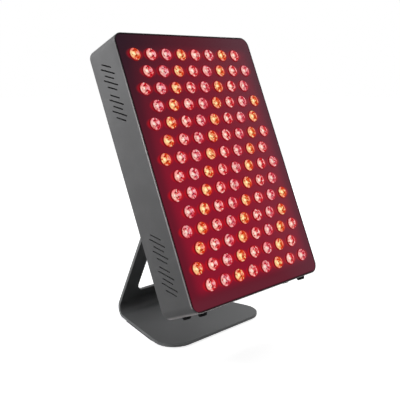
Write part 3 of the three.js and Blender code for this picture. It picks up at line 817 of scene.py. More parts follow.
def lamp_field_effect(scene):
    """Which lamp a point of the lamp face belongs to, and where in that lamp it lies."""
    lamps = scene.lamp_sizes
    tree, wires, given, result = effect(
        "Lamp field",
        [("Point", VECTOR, None)],
        [(title, VALUE) for title in ("Along", "Up", "Kind", "Number", "Face X", "Face Y")],
    )
    parts = face_parts(scene, wires, given["Point"])
    last_row = lamps.rows - 1
    last_column = lamps.columns - 1
    high = wires.minus(last_row / 2, wires.math("DIVIDE", parts["Y"], lamps.pitch_up))
    row = wires.clamped(wires.math("ROUND", high), last_row)
    odd = wires.math("FLOORED_MODULO", row, 2.0)
    shift = wires.minus(wires.times(odd, 2 * ROW_SHIFT), ROW_SHIFT)
    wide = wires.plus(wires.math("DIVIDE", parts["X"], lamps.pitch_across), last_column / 2)
    column = wires.clamped(wires.math("ROUND", wires.minus(wide, shift)), last_column)
    lamp_x = wires.plus(wires.minus(column, last_column / 2), shift)
    lamp_x = wires.times(lamp_x, lamps.pitch_across)
    lamp_y = wires.times(wires.minus(last_row / 2, row), lamps.pitch_up)
    radius = lamps.diameter / 2
    wires.put(result["Along"], wires.math("DIVIDE", wires.minus(parts["X"], lamp_x), radius))
    wires.put(result["Up"], wires.math("DIVIDE", wires.minus(parts["Y"], lamp_y), radius))
    pair = wires.math("FLOOR", wires.math("DIVIDE", wires.plus(row, 1.0), 2.0))
    wires.put(result["Kind"], wires.math("FLOORED_MODULO", wires.plus(column, pair), 3.0))
    wires.put(result["Number"], wires.plus(wires.times(row, float(lamps.columns)), column))
    wires.put(result["Face X"], parts["X"])
    wires.put(result["Face Y"], parts["Y"])
    return tree


def spot_effect():
    """A soft oval patch: where it lies, its half sizes, how it is turned and how soft its rim is."""
    tree, wires, given, result = effect(
        "Soft spot",
        [
            ("Point", VECTOR, None),
            ("Centre", VECTOR, (0.0, 0.0, 0.0)),
            ("Half size", VECTOR, (0.3, 0.3, 1.0)),
            ("Turn", VECTOR, (0.0, 0.0, 0.0)),
            ("Softness", VALUE, 0.5),
        ],
        [("Mask", VALUE)],
    )
    local = wires.add("ShaderNodeMapping", {"Vector": given["Point"]}, vector_type="TEXTURE")
    for title, socket in (("Location", "Centre"), ("Rotation", "Turn"), ("Scale", "Half size")):
        wires.put(local.inputs[title], given[socket])
    far = wires.vector_length(local.outputs[0])
    start = wires.minus(1.0, given["Softness"])
    end = wires.plus(1.0, given["Softness"])
    wires.put(result["Mask"], wires.ramped(far, start, end, 1.0, 0.0))
    return tree


LENS_PATCHES = (
    # centre along and up, half sizes, turn in degrees, softness, colour, colour on amber lamps, share on the left
    # lamps, share on the right lamps
    (-0.42, -0.04, 0.50, 0.58, 12, 0.22, (253, 190, 177), (253, 196, 148), 0.95, 0.94),
    (-0.30, 0.66, 0.40, 0.15, 28, 0.25, (254, 158, 160), (253, 154, 140), 0.95, 0.95),
    (0.04, 0.50, 0.40, 0.13, 18, 0.25, (150, 14, 26), (184, 38, 14), 1.00, 0.70),
    (0.28, 0.70, 0.30, 0.14, -25, 0.30, (190, 34, 48), (200, 48, 34), 0.85, 0.90),
    (0.50, 0.06, 0.34, 0.22, 0, 0.25, (242, 168, 180), (249, 178, 160), 0.88, 0.00),
    (0.44, 0.04, 0.19, 0.42, 0, 0.30, (184, 32, 44), (190, 70, 24), 0.00, 0.88),
    (0.77, 0.16, 0.12, 0.48, 6, 0.30, (253, 156, 160), (251, 152, 136), 0.92, 0.92),
    (0.14, -0.29, 0.31, 0.11, 24, 0.25, (120, 10, 16), (148, 40, 10), 0.95, 0.80),
    (0.40, -0.60, 0.35, 0.14, 38, 0.30, (180, 22, 38), (198, 42, 30), 0.92, 0.92),
    (-0.10, -0.76, 0.24, 0.12, -8, 0.30, (255, 178, 176), (255, 168, 154), 0.95, 0.95),
    (-0.50, -0.16, 0.10, 0.08, 0, 0.30, (176, 120, 112), (190, 150, 84), 0.75, 0.45),
    (-0.20, -0.46, 0.12, 0.08, 0, 0.30, (186, 92, 86), (196, 108, 52), 0.75, 0.60),
    (-0.27, 0.00, 0.24, 0.19, 0, 0.32, (255, 243, 226), (255, 250, 194), 1.00, 1.00),
)


def lens_picture_effect(scene, spot):
    """What a lit lens shows: the bright chip, dark wedges beside it, and light caught by the rim."""
    colours = scene.finish_colours
    tree, wires, given, result = effect(
        "Lit lens",
        numbers("Along", "Up", "Kind", "Number", "Face X"),
        [("Light", COLOUR), ("Height", VALUE)],
    )
    chance = wires.add("ShaderNodeTexWhiteNoise", {"W": given["Number"]}, noise_dimensions="1D")
    jitter = wires.add("ShaderNodeSeparateXYZ", {"Vector": chance.outputs["Color"]}).outputs
    along = wires.plus(given["Along"], wires.ramped(jitter["X"], 0.0, 1.0, -0.03, 0.07))
    up = wires.plus(given["Up"], wires.ramped(jitter["Y"], 0.0, 1.0, -0.05, 0.05))
    point = wires.add("ShaderNodeCombineXYZ", {"X": along, "Y": up}).outputs[0]
    amber = wires.math("LESS_THAN", given["Kind"], 0.5)
    right = wires.ramped(given["Face X"], -55 * MM, 25 * MM)
    light = wires.mixed(amber, colours.red, colours.amber)
    for x, y, wide, tall, degrees, softness, colour, on_amber, on_left, on_right in LENS_PATCHES:
        patch = wires.group(
            spot,
            Point=point,
            Centre=(x, y, 0.0),
            Half_size=(wide, tall, 1.0),
            Turn=(0.0, 0.0, math.radians(degrees)),
            Softness=softness,
        )
        share = wires.add("ShaderNodeMapRange", {"Value": right, "To Min": on_left, "To Max": on_right})
        mask = wires.times(patch.outputs["Mask"], share.outputs["Result"])
        light = wires.mixed(mask, light, wires.mixed(amber, shade(*colour), shade(*on_amber)))
    own = wires.times(given["Number"], 7.3)
    place = wires.add("ShaderNodeCombineXYZ", {"X": along, "Y": up, "Z": own}).outputs[0]
    facet = wires.noise(place, 2.9, 1.0, 0.55)
    deep = wires.mixed(amber, shade(178, 10, 22), shade(192, 40, 16))
    bright = wires.mixed(amber, shade(255, 222, 214), shade(255, 236, 172))
    light = wires.mixed(wires.ramped(facet, 0.44, 0.30, 0.0, 0.85), light, deep)
    light = wires.mixed(wires.ramped(facet, 0.56, 0.70, 0.0, 0.85), light, bright)
    pale = wires.times(wires.math("GREATER_THAN", given["Kind"], 1.5), 0.16)
    light = wires.mixed(pale, light, wires.mixed(wires.ramped(facet, 0.35, 0.6), shade(160, 60, 90), colours.pale))
    light = wires.toned(light, saturation=1.07)
    reach = wires.reach(wires.minus(given["Along"], 0.04), given["Up"])
    rim = wires.ramped(reach, 0.84, 0.95)
    wires.put(result["Light"], wires.mixed(rim, light, shade(122, 10, 24)))
    wires.put(result["Height"], wires.math("SINE", wires.times(reach, 24.0)))
    return tree


def plate_glow_effect(scene):
    """Red light that the lamps throw on the front plate, painted into its emission: strongest beside them, weak at
    the top and the rim, with a painted grey reflection towards the right and the bottom.
    """
    lamps = scene.lamp_sizes
    box = scene.housing_sizes
    colours = scene.finish_colours
    tree, wires, given, result = effect(
        "Plate glow",
        numbers("Along", "Up", "Face X", "Face Y"),
        [("Light", COLOUR)],
    )
    half_width = (lamps.columns / 2 - ROW_SHIFT) * lamps.pitch_across
    half_height = (lamps.rows - 1) / 2 * lamps.pitch_up
    wide = wires.math("ABSOLUTE", given["Face X"])
    tall = wires.math("ABSOLUTE", given["Face Y"])
    out_x = wires.larger(wires.minus(wide, half_width), 0.0)
    out_y = wires.times(wires.larger(wires.minus(tall, half_height), 0.0), 1.3)
    inside = wires.ramped(wires.reach(out_x, out_y), 0.0, 18 * MM, 1.0, 0.48)
    down = wires.ramped(given["Face Y"], 180 * MM, -60 * MM)
    across = wires.ramped(given["Face X"], -125 * MM, 10 * MM, 0.0, 0.6)
    even = wires.plus(across, wires.times(wires.minus(1.0, across), down))
    light = wires.mixed(wires.times(inside, even), colours.plum, colours.glow)
    beside = wires.ramped(wires.reach(given["Along"], wires.times(given["Up"], 1.7)), 1.0, 1.75, 1.0, 0.0)
    strong = wires.ramped(given["Face Y"], 170 * MM, -110 * MM, 0.5, 1.0)
    light = wires.mixed(wires.times(beside, strong), light, colours.halo)
    # Painted reflection: a pale grey sheen painted towards the right and the bottom of the plate
    right = wires.ramped(given["Face X"], -10 * MM, box.width / 2, 0.0, 0.35)
    low = wires.ramped(given["Face Y"], -142 * MM, -158 * MM, 0.0, 0.15)
    light = wires.mixed(wires.larger(right, low), light, shade(86, 66, 76))
    seat = box.wall + box.clearance
    rim = wires.smaller(wires.minus(box.width / 2 - seat, wide), wires.minus(box.height / 2 - seat, tall))
    shadow = wires.ramped(rim, 0.0, 1.6 * MM, 0.75, 0.0)
    wires.put(result["Light"], wires.mixed(shadow, light, shade(14, 8, 10)))
    return tree


def front_edge_highlight_effect(scene):
    """Where light is painted on the housing, as a mask: a painted highlight along its rounded front edge, stronger
    low down, and painted bounce light on the turn of its lower corners.
    """
    box = scene.housing_sizes
    tree, wires, given, result = effect("Front edge highlight", [("Point", VECTOR, None)], [("Mask", VALUE)])
    parts = face_parts(scene, wires, given["Point"])
    side = wires.minus(box.width / 2, wires.math("ABSOLUTE", parts["X"]))
    end = wires.minus(box.height / 2, wires.math("ABSOLUTE", parts["Y"]))
    near_side = wires.ramped(wires.smaller(side, end), 0.75 * MM, 1.4 * MM, 1.0, 0.0)
    near_front = wires.ramped(parts["Z"], -1.7 * MM, -0.8 * MM)
    lower = wires.ramped(parts["Y"], 150 * MM, 0.0, 0.15, 1.0)
    # Painted highlight along the front edge, stronger low down
    edge = wires.times(wires.times(near_side, near_front), lower)
    height = wires.plus(parts["Y"], box.height / 2)
    # Painted bounce light: paler paint on the turn of the lower corners
    painted_corner_light = wires.times(
        wires.ramped(height, 4.4 * MM, 1.2 * MM, 0.0, 0.7),
        wires.ramped(side, box.corner + 2 * MM, box.corner - 2 * MM),
    )
    wires.put(result["Mask"], wires.larger(edge, painted_corner_light))
    return tree


def link_skin(wires, shader, skin):
    """Link a surface effect's colour, roughness and normal to a shader."""
    for title, output in (("Base Color", "Colour"), ("Roughness", "Roughness"), ("Normal", "Normal")):
        wires.put(shader[title], skin[output])


class Finishes:
    """The materials, made once and shared by the pieces."""

    made = {}

    @classmethod
    def prepare(cls, scene):
        """Build the shared effects."""
        spot = spot_effect()
        cls.made = {
            "coat": coat_effect(),
            "grain": grain_effect(),
            "brushed": brushed_effect(),
            "field": lamp_field_effect(scene),
            "picture": lens_picture_effect(scene, spot),
            "glow": plate_glow_effect(scene),
            "edge": front_edge_highlight_effect(scene),
        }

    @staticmethod
    def blank(name, **sockets):
        """A material with its shader, its wiring and the object's own coordinates."""
        material = bpy.data.materials.new(name)
        material.use_nodes = True
        wires = Wiring(material.node_tree)
        shader = material.node_tree.nodes["Principled BSDF"]
        for title, value in sockets.items():
            shader.inputs[title.replace("_", " ")].default_value = value
        point = wires.add("ShaderNodeTexCoord").outputs["Object"]
        return material, wires, shader.inputs, point

    @classmethod
    def surfaced(cls, name, effect_name, values, **sockets):
        """A material whose colour, roughness and normal come from one shared effect."""
        material = bpy.data.materials.get(name)
        if material:
            return material
        material, wires, shader, point = cls.blank(name, **sockets)
        skin = wires.group(cls.made[effect_name], Point=point, **values).outputs
        link_skin(wires, shader, skin)
        return material


POWDER = {"Grain": 1400.0, "Depth": 0.22, "Gloss": 0.52}
POWDER_SHINE = 0.35


def plain(name, effect_name, colour, values, **sockets):
    """A function that gives a plain finish. Its colour is a setting's name or a linear colour."""

    def finish(scene):
        own = getattr(scene.finish_colours, colour) if isinstance(colour, str) else colour
        return Finishes.surfaced(name, effect_name, {"Colour": own, **values}, **sockets)

    return finish


def grained(grain, depth, gloss):
    """The values of a grain: its scale, its depth and the roughness of its surface."""
    return {"Grain": grain, "Depth": depth, "Gloss": gloss}


# The stand, the back plate and the bracket have the first paint, the stand's cut edges the second, a lighter copy
# of it that is a painted highlight
paint = plain("grey powder coat", "coat", "paint", POWDER, Specular_IOR_Level=POWDER_SHINE)
cut_edge_highlight_paint = plain("grey powder coat with painted highlight on cut edges", "coat", "edge", POWDER, Specular_IOR_Level=POWDER_SHINE)
guard_wire = plain("black lacquered wire", "coat", shade(44, 45, 47), grained(2200.0, 0.2, 0.42))
plastic = plain("black moulded plastic", "grain", "plastic", grained(2600.0, 0.3, 0.46))
rubber = plain("black rubber", "grain", "rubber", grained(1500.0, 0.5, 0.8), Specular_IOR_Level=0.3)
rocker_plastic = plain("red rocker plastic", "grain", "rocker", grained(3000.0, 0.12, 0.3))
mark_paint = plain("white mark ink", "grain", shade(226, 226, 224), grained(3000.0, 0.1, 0.5))
steel = plain(
    "zinc-plated steel", "brushed", "steel", {"Stretch": (600.0, 2600.0, 2600.0), "Gloss": 0.32}, Metallic=1.0
)
aluminium = plain(
    "drawn aluminium",
    "brushed",
    shade(190, 192, 195),
    {"Stretch": (2400.0, 90.0, 90.0), "Gloss": 0.36},
    Metallic=1.0,
)


def housing_paint(scene):
    """The grey powder coat of the housing, lighter than the stand's as painted light, with a painted highlight
    along its front edge and painted bounce light on its lower corners.
    """
    colours = scene.finish_colours
    material, wires, shader, point = Finishes.blank(
        "grey powder coat with painted edge highlight", Specular_IOR_Level=POWDER_SHINE
    )
    skin = wires.group(
        Finishes.made["coat"],
        Point=point,
        # The housing's grey, lighter than the stand's as painted light
        Colour=colours.shell,
        # Painted highlight along the front edge and painted bounce light on the lower corners
        Wear=wires.group(Finishes.made["edge"], Point=point).outputs["Mask"],
        Worn_colour=colours.painted_highlight,
        **POWDER,
    ).outputs
    link_skin(wires, shader, skin)
    return material


def rim_lacquer_with_painted_light(scene):
    """Black lacquer of the housing's narrow front face, whose black stands in partly for the shade of the gap
    beside the front plate, with a painted reflection that makes it paler at the bottom and on the right.
    """
    box = scene.housing_sizes
    material, wires, shader, point = Finishes.blank("black rim lacquer with painted shade and reflection", Specular_IOR_Level=0.15)
    field = wires.group(Finishes.made["field"], Point=point).outputs
    low = wires.ramped(field["Face Y"], -box.height / 2 + 14 * MM, -box.height / 2 + 2 * MM)
    right = wires.ramped(field["Face X"], box.width / 2 - 12 * MM, box.width / 2 - 2 * MM)
    # Painted reflection: the rim is made paler towards the bottom and the right
    colour = wires.mixed(wires.larger(low, right), shade(24, 15, 19), shade(66, 48, 54))
    skin = wires.group(
        Finishes.made["coat"], Point=point, Colour=colour, Grain=1700.0, Depth=0.15, Gloss=0.5
    ).outputs
    link_skin(wires, shader, skin)
    return material


def lens_plastic():
    """Clear lens over a lit lamp."""
    material, wires, shader, point = Finishes.blank(
        "lit clear lens", Roughness=0.14, Specular_IOR_Level=0.15, Emission_Strength=1.0
    )
    field = wires.group(Finishes.made["field"], Point=point).outputs
    picture = wires.group(
        Finishes.made["picture"],
        Along=field["Along"],
        Up=field["Up"],
        Kind=field["Kind"],
        Number=field["Number"],
        Face_X=field["Face X"],
    ).outputs
    wires.put(shader["Base Color"], wires.toned(picture["Light"], 0.04))
    wires.put(shader["Emission Color"], picture["Light"])
    wires.put(shader["Normal"], wires.bump(0.12, 0.1 * MM, picture["Height"]))
    return material


def plate_lacquer(scene):
    """Dark satin lacquer of the front plate, with the lamps' red light on it."""
    colours = scene.finish_colours
    material, wires, shader, point = Finishes.blank(
        "dark satin lacquer", Specular_IOR_Level=0.04, Emission_Strength=1.0
    )
    skin = wires.group(
        Finishes.made["coat"], Point=point, Colour=colours.plate, Grain=1700.0, Depth=0.15, Gloss=0.45
    ).outputs
    link_skin(wires, shader, skin)
    field = wires.group(Finishes.made["field"], Point=point).outputs
    glow = wires.group(Finishes.made["glow"])
    for title in ("Along", "Up", "Face X", "Face Y"):
        wires.put(glow.inputs[title], field[title])
    wires.put(shader["Emission Color"], glow.outputs["Light"])
    return material


def board_lacquer():
    """White lacquer of the lamp board, with a yellow chip behind each lens."""
    material, wires, shader, point = Finishes.blank("white board lacquer")
    skin = wires.group(
        Finishes.made["coat"], Point=point, Colour=shade(228, 227, 220), Grain=900.0, Depth=0.1, Gloss=0.5
    ).outputs
    field = wires.group(Finishes.made["field"], Point=point).outputs
    wide = wires.larger(wires.math("ABSOLUTE", field["Along"]), wires.math("ABSOLUTE", field["Up"]))
    chip = wires.ramped(wide, 0.22, 0.25, 1.0, 0.0)
    link_skin(wires, shader, skin)
    wires.put(shader["Base Color"], wires.mixed(chip, skin["Colour"], shade(214, 176, 60)))
    return material


# Operators, one for each piece or group of like pieces


class PieceOperator(bpy.types.Operator):
    """What the operators share."""

    bl_options = {"REGISTER", "UNDO"}

    def execute(self, context):
        """Build the pieces, and say that it went well."""
        self.build(context.scene)
        return {"FINISHED"}


class LAMPPANEL_OT_housing(PieceOperator):
    """Build the housing: a rounded sleeve with a lip behind each cover and slots in both sides"""

    bl_idname = "lamp_panel.housing"
    bl_label = "Housing"

    def build(self, scene):
        """Model the sleeve."""
        box = scene.housing_sizes
        depths = Depths(scene)
        shell = hollowed("housing_shell", box, 0, 0, box.depth, 8)
        soften(shell, 0.9 * MM, 3)
        cut(
            shell,
            hollowed("front seat", box, box.wall, -MM, depths.sheet),
            hollowed("rear seat", box, box.wall, depths.rear_cover - box.clearance, box.depth + MM),
            hollowed("opening", box, box.wall + box.lip, -MM, box.depth + MM),
            hollowed("inside", box, box.wall, depths.sheet + box.cover, depths.rear_lip),
        )
        cut(shell, self.slots(box))
        smooth(shell, 30)
        # The narrow front face gets the black rim lacquer, with its painted shade and painted reflection
        second_finish(
            shell,
            housing_paint(scene),
            rim_lacquer_with_painted_light(scene),
            lambda face: face.normal.z > 0.99 and face.calc_center_median().z > -NEAR,
        )
        fit(shell, face_place(scene), None, "panel", "grey_paint", "housing")

    @staticmethod
    def slots(box):
        """Long rounded tools through both sides, in groups of ten made of two fives."""
        in_five = 5
        centre_of_five = (in_five - 1) / 2
        offset = centre_of_five * box.slot_pitch + box.slot_break / 2
        tools = []
        for size in (box.slot_short, box.slot_long):
            tool = block("slot", (box.width + 2 * MM, box.slot_width, size))
            bevelled(tool, along_x, box.slot_width * 0.49, 3)
            tool.rotation_euler = (box.slot_turn, 0, 0)
            tools.append(settle(tool))
        cutters = []
        for group in (-box.slot_height, box.slot_height):
            for five in (-offset, offset):
                for i in range(in_five):
                    cutter = copied(tools[i % 2], "slot cutter")
                    height = group + five + (centre_of_five - i) * box.slot_pitch
                    cutters.append(settle(cutter, Matrix.Translation((0, height, -box.depth / 2))))
        for tool in tools:
            bpy.data.objects.remove(tool)
        return joined("slots", cutters)


def lamp_places(scene):
    """X and height of each lamp on the lamp face, row by row."""
    lamps = scene.lamp_sizes
    places = []
    for row in range(lamps.rows):
        shift = ROW_SHIFT if row % 2 else -ROW_SHIFT
        height = ((lamps.rows - 1) / 2 - row) * lamps.pitch_up
        steps = [column - (lamps.columns - 1) / 2 + shift for column in range(lamps.columns)]
        places.append([(step * lamps.pitch_across, height) for step in steps])
    return places


# How many sides a lens and its hole have
LENS_SIDES = 20


def hollowed(name, box, inset, front, back, segments=6):
    """A slab of the housing's outline, drawn in on every side."""
    width, height = box.width - 2 * inset, box.height - 2 * inset
    return rounded_block(name, width, height, box.corner - inset, front, back, segments=segments)


def cover_sheet(name, box, front, back):
    """The sheet of a cover, which fills the housing between its walls."""
    return soften(hollowed(name, box, box.wall + box.clearance, front, back, 8), 0.3 * MM)


class LAMPPANEL_OT_front_plate(PieceOperator):
    """Build the front plate with its round lamp holes"""

    bl_idname = "lamp_panel.front_plate"
    bl_label = "Front plate"

    def build(self, scene):
        """Model the plate and drill the holes."""
        box = scene.housing_sizes
        lamps = scene.lamp_sizes
        plate = cover_sheet("front_plate", box, 0, box.cover)
        hole = disc("hole", lamps.diameter + 2 * lamps.gap, -MM, box.cover + MM, sides=LENS_SIDES)
        places = [place for row in lamp_places(scene) for place in row]
        cut(plate, joined("lamp holes", set_out(hole, "lamp hole", places)))
        bpy.data.objects.remove(hole)
        margin = 2 * (box.wall + box.clearance)
        inside_x = box.width / 2 - margin
        inside_y = box.height / 2 - margin

        def hole_rim(edge):
            return all(
                abs(vertex.co.z) < NEAR and abs(vertex.co.x) < inside_x and abs(vertex.co.y) < inside_y
                for vertex in edge.verts
            ) and any(abs(face.normal.z) < 0.5 for face in edge.link_faces)

        bevelled(plate, hole_rim, 0.22 * MM)
        smooth(plate, 25)
        fit(plate, face_place(scene), plate_lacquer(scene), "panel", "front_paint", "front_cover")


class LAMPPANEL_OT_lenses(PieceOperator):
    """Build the rows of lenses, each a strip with eight stepped domes"""

    bl_idname = "lamp_panel.lenses"
    bl_label = "Lens rows"

    def build(self, scene):
        """Model one lens, and set out its copies."""
        lamps = scene.lamp_sizes
        depths = Depths(scene)
        finish = lens_plastic()
        lens = disc("lens", lamps.diameter, 0.3 * MM, depths.sheet + lamps.foot / 2, sides=LENS_SIDES)
        pick(lens, "FACE", faces_to((0, 0, 1)))
        bpy.ops.mesh.inset(thickness=0.55 * MM, depth=0)
        bpy.ops.mesh.inset(thickness=0.2 * MM, depth=0.85 * lamps.rise)
        bpy.ops.mesh.inset(thickness=3.4 * MM, depth=0.4 * lamps.rise)
        done(lens)
        for number, places in enumerate(lamp_places(scene), 1):
            middle_x = (places[0][0] + places[-1][0]) / 2
            width = lamps.columns * lamps.pitch_across
            height = lamps.pitch_up - scene.housing_sizes.clearance
            strip = rounded_block(
                "strip", width, height, 1.5 * MM, depths.sheet, depths.foot_back, middle_x, places[0][1], segments=2
            )
            row = shaded(joined(f"lenses_{number:02d}", [strip, *set_out(lens, "dome", places)]), 35)
            fit(row, face_place(scene), finish, "panel", "lens", f"lens_row_{number:02d}")
        bpy.data.objects.remove(lens)


def cross_recess(name, size, front, back, x, y):
    """The cross-shaped recess of a screw head, as a cutting tool."""
    depth = back - front
    centre = (x, y, -(front + back) / 2)
    wide, narrow = size, size * 0.24
    return weld(block(name, (wide, narrow, depth), centre), block(name, (narrow, wide, depth), centre))


def pan_screw(name, head, shaft, seat, rise, tip, sides=24):
    """A pan-head screw along the face's Z: its head stands rise behind seat, its shaft reaches tip."""
    screw = disc(name, head, seat, seat + rise, sides=sides)
    bevelled(screw, rim_at(seat + rise), rise * 0.62, 3)
    cut(screw, cross_recess("recess", head * 0.52, seat + rise * 0.4, seat + rise + MM, 0, 0))
    weld(screw, disc("shaft", shaft, tip, seat + rise * 0.3, sides=12))
    return smooth(screw, 35)


class LAMPPANEL_OT_back_plate(PieceOperator):
    """Build the back plate with its fan openings, service cut-outs, pressed-in nuts and cover screws"""

    bl_idname = "lamp_panel.back_plate"
    bl_label = "Back plate"

    # Width and height of the opening that each service part needs
    CUT_OUTS = {
        "switch_body_left": (13.4 * MM, 20.2 * MM),
        "switch_body_right": (13.4 * MM, 20.2 * MM),
        "power_inlet": (29.1 * MM, 21.1 * MM),
    }

    def build(self, scene):
        """Model the plate, cut it out, and screw it down."""
        box = scene.housing_sizes
        depths = Depths(scene)
        plate = cover_sheet("back_plate", box, depths.rear_cover, box.depth)
        opening = scene.fan_sizes.bore - MM
        for level in ("upper", "lower"):
            y = on_face(scene, joint(f"fan_{level}_spin")["pos_m"]).y
            cut(plate, disc("fan opening", opening, depths.rear_cover - MM, box.depth + MM, 0, y, 48))
        for node, (across, up) in self.CUT_OUTS.items():
            centre = on_face(scene, middle(node))
            centre.z = -(depths.rear_cover + box.depth) / 2
            cut(plate, block("cut-out", (across, up, box.cover + 2 * MM), centre))
        nut_front = depths.rear_cover - 3 * MM
        for x, y in bracket_screw_places(scene):
            weld(plate, disc("pressed nut", 8 * MM, nut_front, depths.rear_cover + box.cover / 2, x, y, 16))
            cut(plate, disc("bore", BRACKET_BORE, nut_front - MM, box.depth + MM, x, y, 16))
        screw = pan_screw("screw", 5.4 * MM, 3 * MM, box.depth, 1.6 * MM, depths.rear_lip - 2 * MM, sides=20)
        places = self.screw_places(scene)
        for x, y in places:
            cut(plate, disc("screw hole", 3.4 * MM, depths.rear_cover - MM, box.depth + MM, x, y, 12))
        smooth(plate, 30)
        fit(plate, face_place(scene), paint(scene), "panel", "grey_paint", "rear_cover")
        screws = joined("cover_screws", set_out(screw, "screw", places))
        bpy.data.objects.remove(screw)
        fit(screws, face_place(scene), steel(scene), "panel", "zinc_steel")

    @staticmethod
    def screw_places(scene):
        """Ten places along the lip, three on each long side and two on each short one."""
        box = scene.housing_sizes
        inset = box.wall + box.lip / 2
        x = box.width / 2 - inset
        y = box.height / 2 - inset
        sides = [(side * x, share * y) for side in (-1, 1) for share in (-0.72, 0, 0.72)]
        ends = [(share * x, side * y) for side in (-1, 1) for share in (-0.55, 0.55)]
        return sides + ends


def bracket_screw_places(scene):
    """X and height of the bracket's screws on the lamp face."""
    return [tuple(on_face(scene, middle(f"bracket_screw_{i}")).xy) for i in range(1, 5)]


class LAMPPANEL_OT_fans(PieceOperator):
    """Build the two fans, each a frame, a rotor and a wire guard with its screws"""

    bl_idname = "lamp_panel.fans"
    bl_label = "Fans"

    def build(self, scene):
        """Model one fan, and set both out."""
        models = {
            "frame": (self.frame(scene), plastic(scene), "black_plastic"),
            "rotor": (self.rotor(scene), plastic(scene), "black_plastic"),
            "guard": (self.guard(scene), guard_wire(scene), "guard_wire"),
            "screws": (self.screws(scene), steel(scene), "zinc_steel"),
        }
        for level in ("upper", "lower"):
            y = on_face(scene, joint(f"fan_{level}_spin")["pos_m"]).y
            place = face_place(scene) @ Matrix.Translation((0, y, 0))
            for part, (model, finish, slot) in models.items():
                piece = copied(model, f"fan_{part}_{level}_piece")
                body = f"fan_rotor_{level}" if part == "rotor" else "panel"
                replaced = () if part == "screws" else (f"fan_{part}_{level}",)
                fit(piece, place, finish, body, slot, *replaced)
        for model, *_ in models.values():
            bpy.data.objects.remove(model)

    @staticmethod
    def frame(scene):
        """A square frame with two flanges, a round duct, screw holes and a motor plate on four struts."""
        fan = scene.fan_sizes
        depths = Depths(scene)
        front, back = depths.fan_front, depths.fan_back
        flange = 3.6 * MM
        body = rounded_block("fan frame", fan.side, fan.side, 4 * MM, front, back, segments=5)
        groove = block("groove", (fan.side + 2 * MM, fan.side + 2 * MM, fan.depth - 2 * flange))
        settle(groove, Matrix.Translation((0, 0, -(front + back) / 2)))
        cut(groove, disc("duct", fan.bore + 3.6 * MM, front, back, sides=64))
        cut(body, groove, disc("bore", fan.bore, front - MM, back + MM, sides=64))
        for x, y in corners(fan_screw_offset(scene)):
            cut(body, disc("screw hole", 4.4 * MM, front - MM, back + MM, x, y, 16))
        soften(body, 0.3 * MM, 2, 40)
        web = 2.2 * MM
        plate = disc("motor plate", 32 * MM, front, front + web, sides=40)
        reach = (fan.bore + fan.side) / 2
        for i in range(2):
            strut = block("strut", (reach, 4 * MM, web), (0, 0, -front - web / 2))
            strut.rotation_euler = (0, 0, i * math.pi / 2)
            weld(plate, settle(strut))
        weld(body, plate)
        return smooth(body, 38)

    @staticmethod
    def rotor(scene):
        """A hub with a rounded cap and curved blades."""
        fan = scene.fan_sizes
        depths = Depths(scene)
        front = depths.fan_front + 2.5 * MM
        back = front + 10 * MM
        hub = disc("fan rotor", fan.hub, front, back, sides=56)
        bevelled(hub, rim_at(back), 1.4 * MM, 4)
        pick(hub, "FACE", faces_to((0, 0, -1)))
        bpy.ops.mesh.inset(thickness=4 * MM, depth=0)
        bpy.ops.mesh.inset(thickness=0.3 * MM, depth=-0.4 * MM)
        done(hub)
        root = fan.hub / 2 - MM
        tip = fan.bore / 2 - 1.8 * MM
        chord = 15.6 * MM
        blade = block("blade", (tip - root, chord, 1.2 * MM), ((root + tip) / 2, 0, 0))
        divided(blade, 5)
        camber = 1.3 * MM
        for step in range(-3, 4):
            at = step * chord / 6
            rise = camber * (1 - (step / 3) ** 2) - camber / 2
            moved(blade, lambda vertex, at=at: abs(vertex.co.y - at) < NEAR, rise)
        stretched(blade, lambda vertex: vertex.co.x < root + NEAR, (1, 0.72, 1))
        blade.rotation_euler = (fan.pitch, 0, 0)
        settle(blade)
        soften(blade, 0.35 * MM, 2, 50)
        for i in range(fan.blades):
            turned = Matrix.Rotation(2 * math.pi * i / fan.blades, 4, "Z")
            place = Matrix.Translation((0, 0, -(front + back) / 2)) @ turned
            weld(hub, settle(copied(blade, "blade copy"), place))
        bpy.data.objects.remove(blade)
        return smooth(hub, 38)

    @staticmethod
    def guard(scene):
        """Rings of wire on a cross of wires, with a screw eye at each end."""
        fan = scene.fan_sizes
        depths = Depths(scene)
        hub = 18 * MM
        pitch = (fan.bore - hub) / (2 * fan.rings)
        cross_depth = depths.outside + fan.wire / 2
        ring_depth = cross_depth + fan.wire - 0.4 * MM
        wires = [
            ring("guard ring", hub + 2 * (i + 1) * pitch, fan.wire, ring_depth, sides=56) for i in range(fan.rings)
        ]
        button = disc("guard button", hub, ring_depth - fan.wire / 2, ring_depth + fan.wire / 2, sides=40)
        wires.append(soften(button, 0.5 * MM, 2, 40))
        corner = fan_screw_offset(scene)
        reach = corner * math.sqrt(2) - 2.6 * MM
        for i in range(2):
            wire = bar("guard cross", fan.wire, -reach, reach, 10)
            wire.rotation_euler = (0, 0, math.pi / 4 + i * math.pi / 2)
            wires.append(settle(wire, Matrix.Translation((0, 0, -cross_depth))))
        for x, y in corners(corner):
            wires.append(ring("guard eye", 8 * MM, fan.wire, cross_depth, x, y, 24))
        return shaded(joined("fan guard", wires), 50)

    @staticmethod
    def screws(scene):
        """Four pan-head screws that hold the guard and the fan."""
        depths = Depths(scene)
        seat = depths.outside + scene.fan_sizes.wire
        screw = pan_screw("screw", 7.2 * MM, 3.8 * MM, seat, 2.2 * MM, depths.fan_back - 4 * MM)
        screws = set_out(screw, "screw", corners(fan_screw_offset(scene)))
        bpy.data.objects.remove(screw)
        return joined("fan screws", screws)


def fan_screw_offset(scene):
    """How far a fan's screws lie from its middle, across and up."""
    return scene.fan_sizes.side / 2 - 4.25 * MM


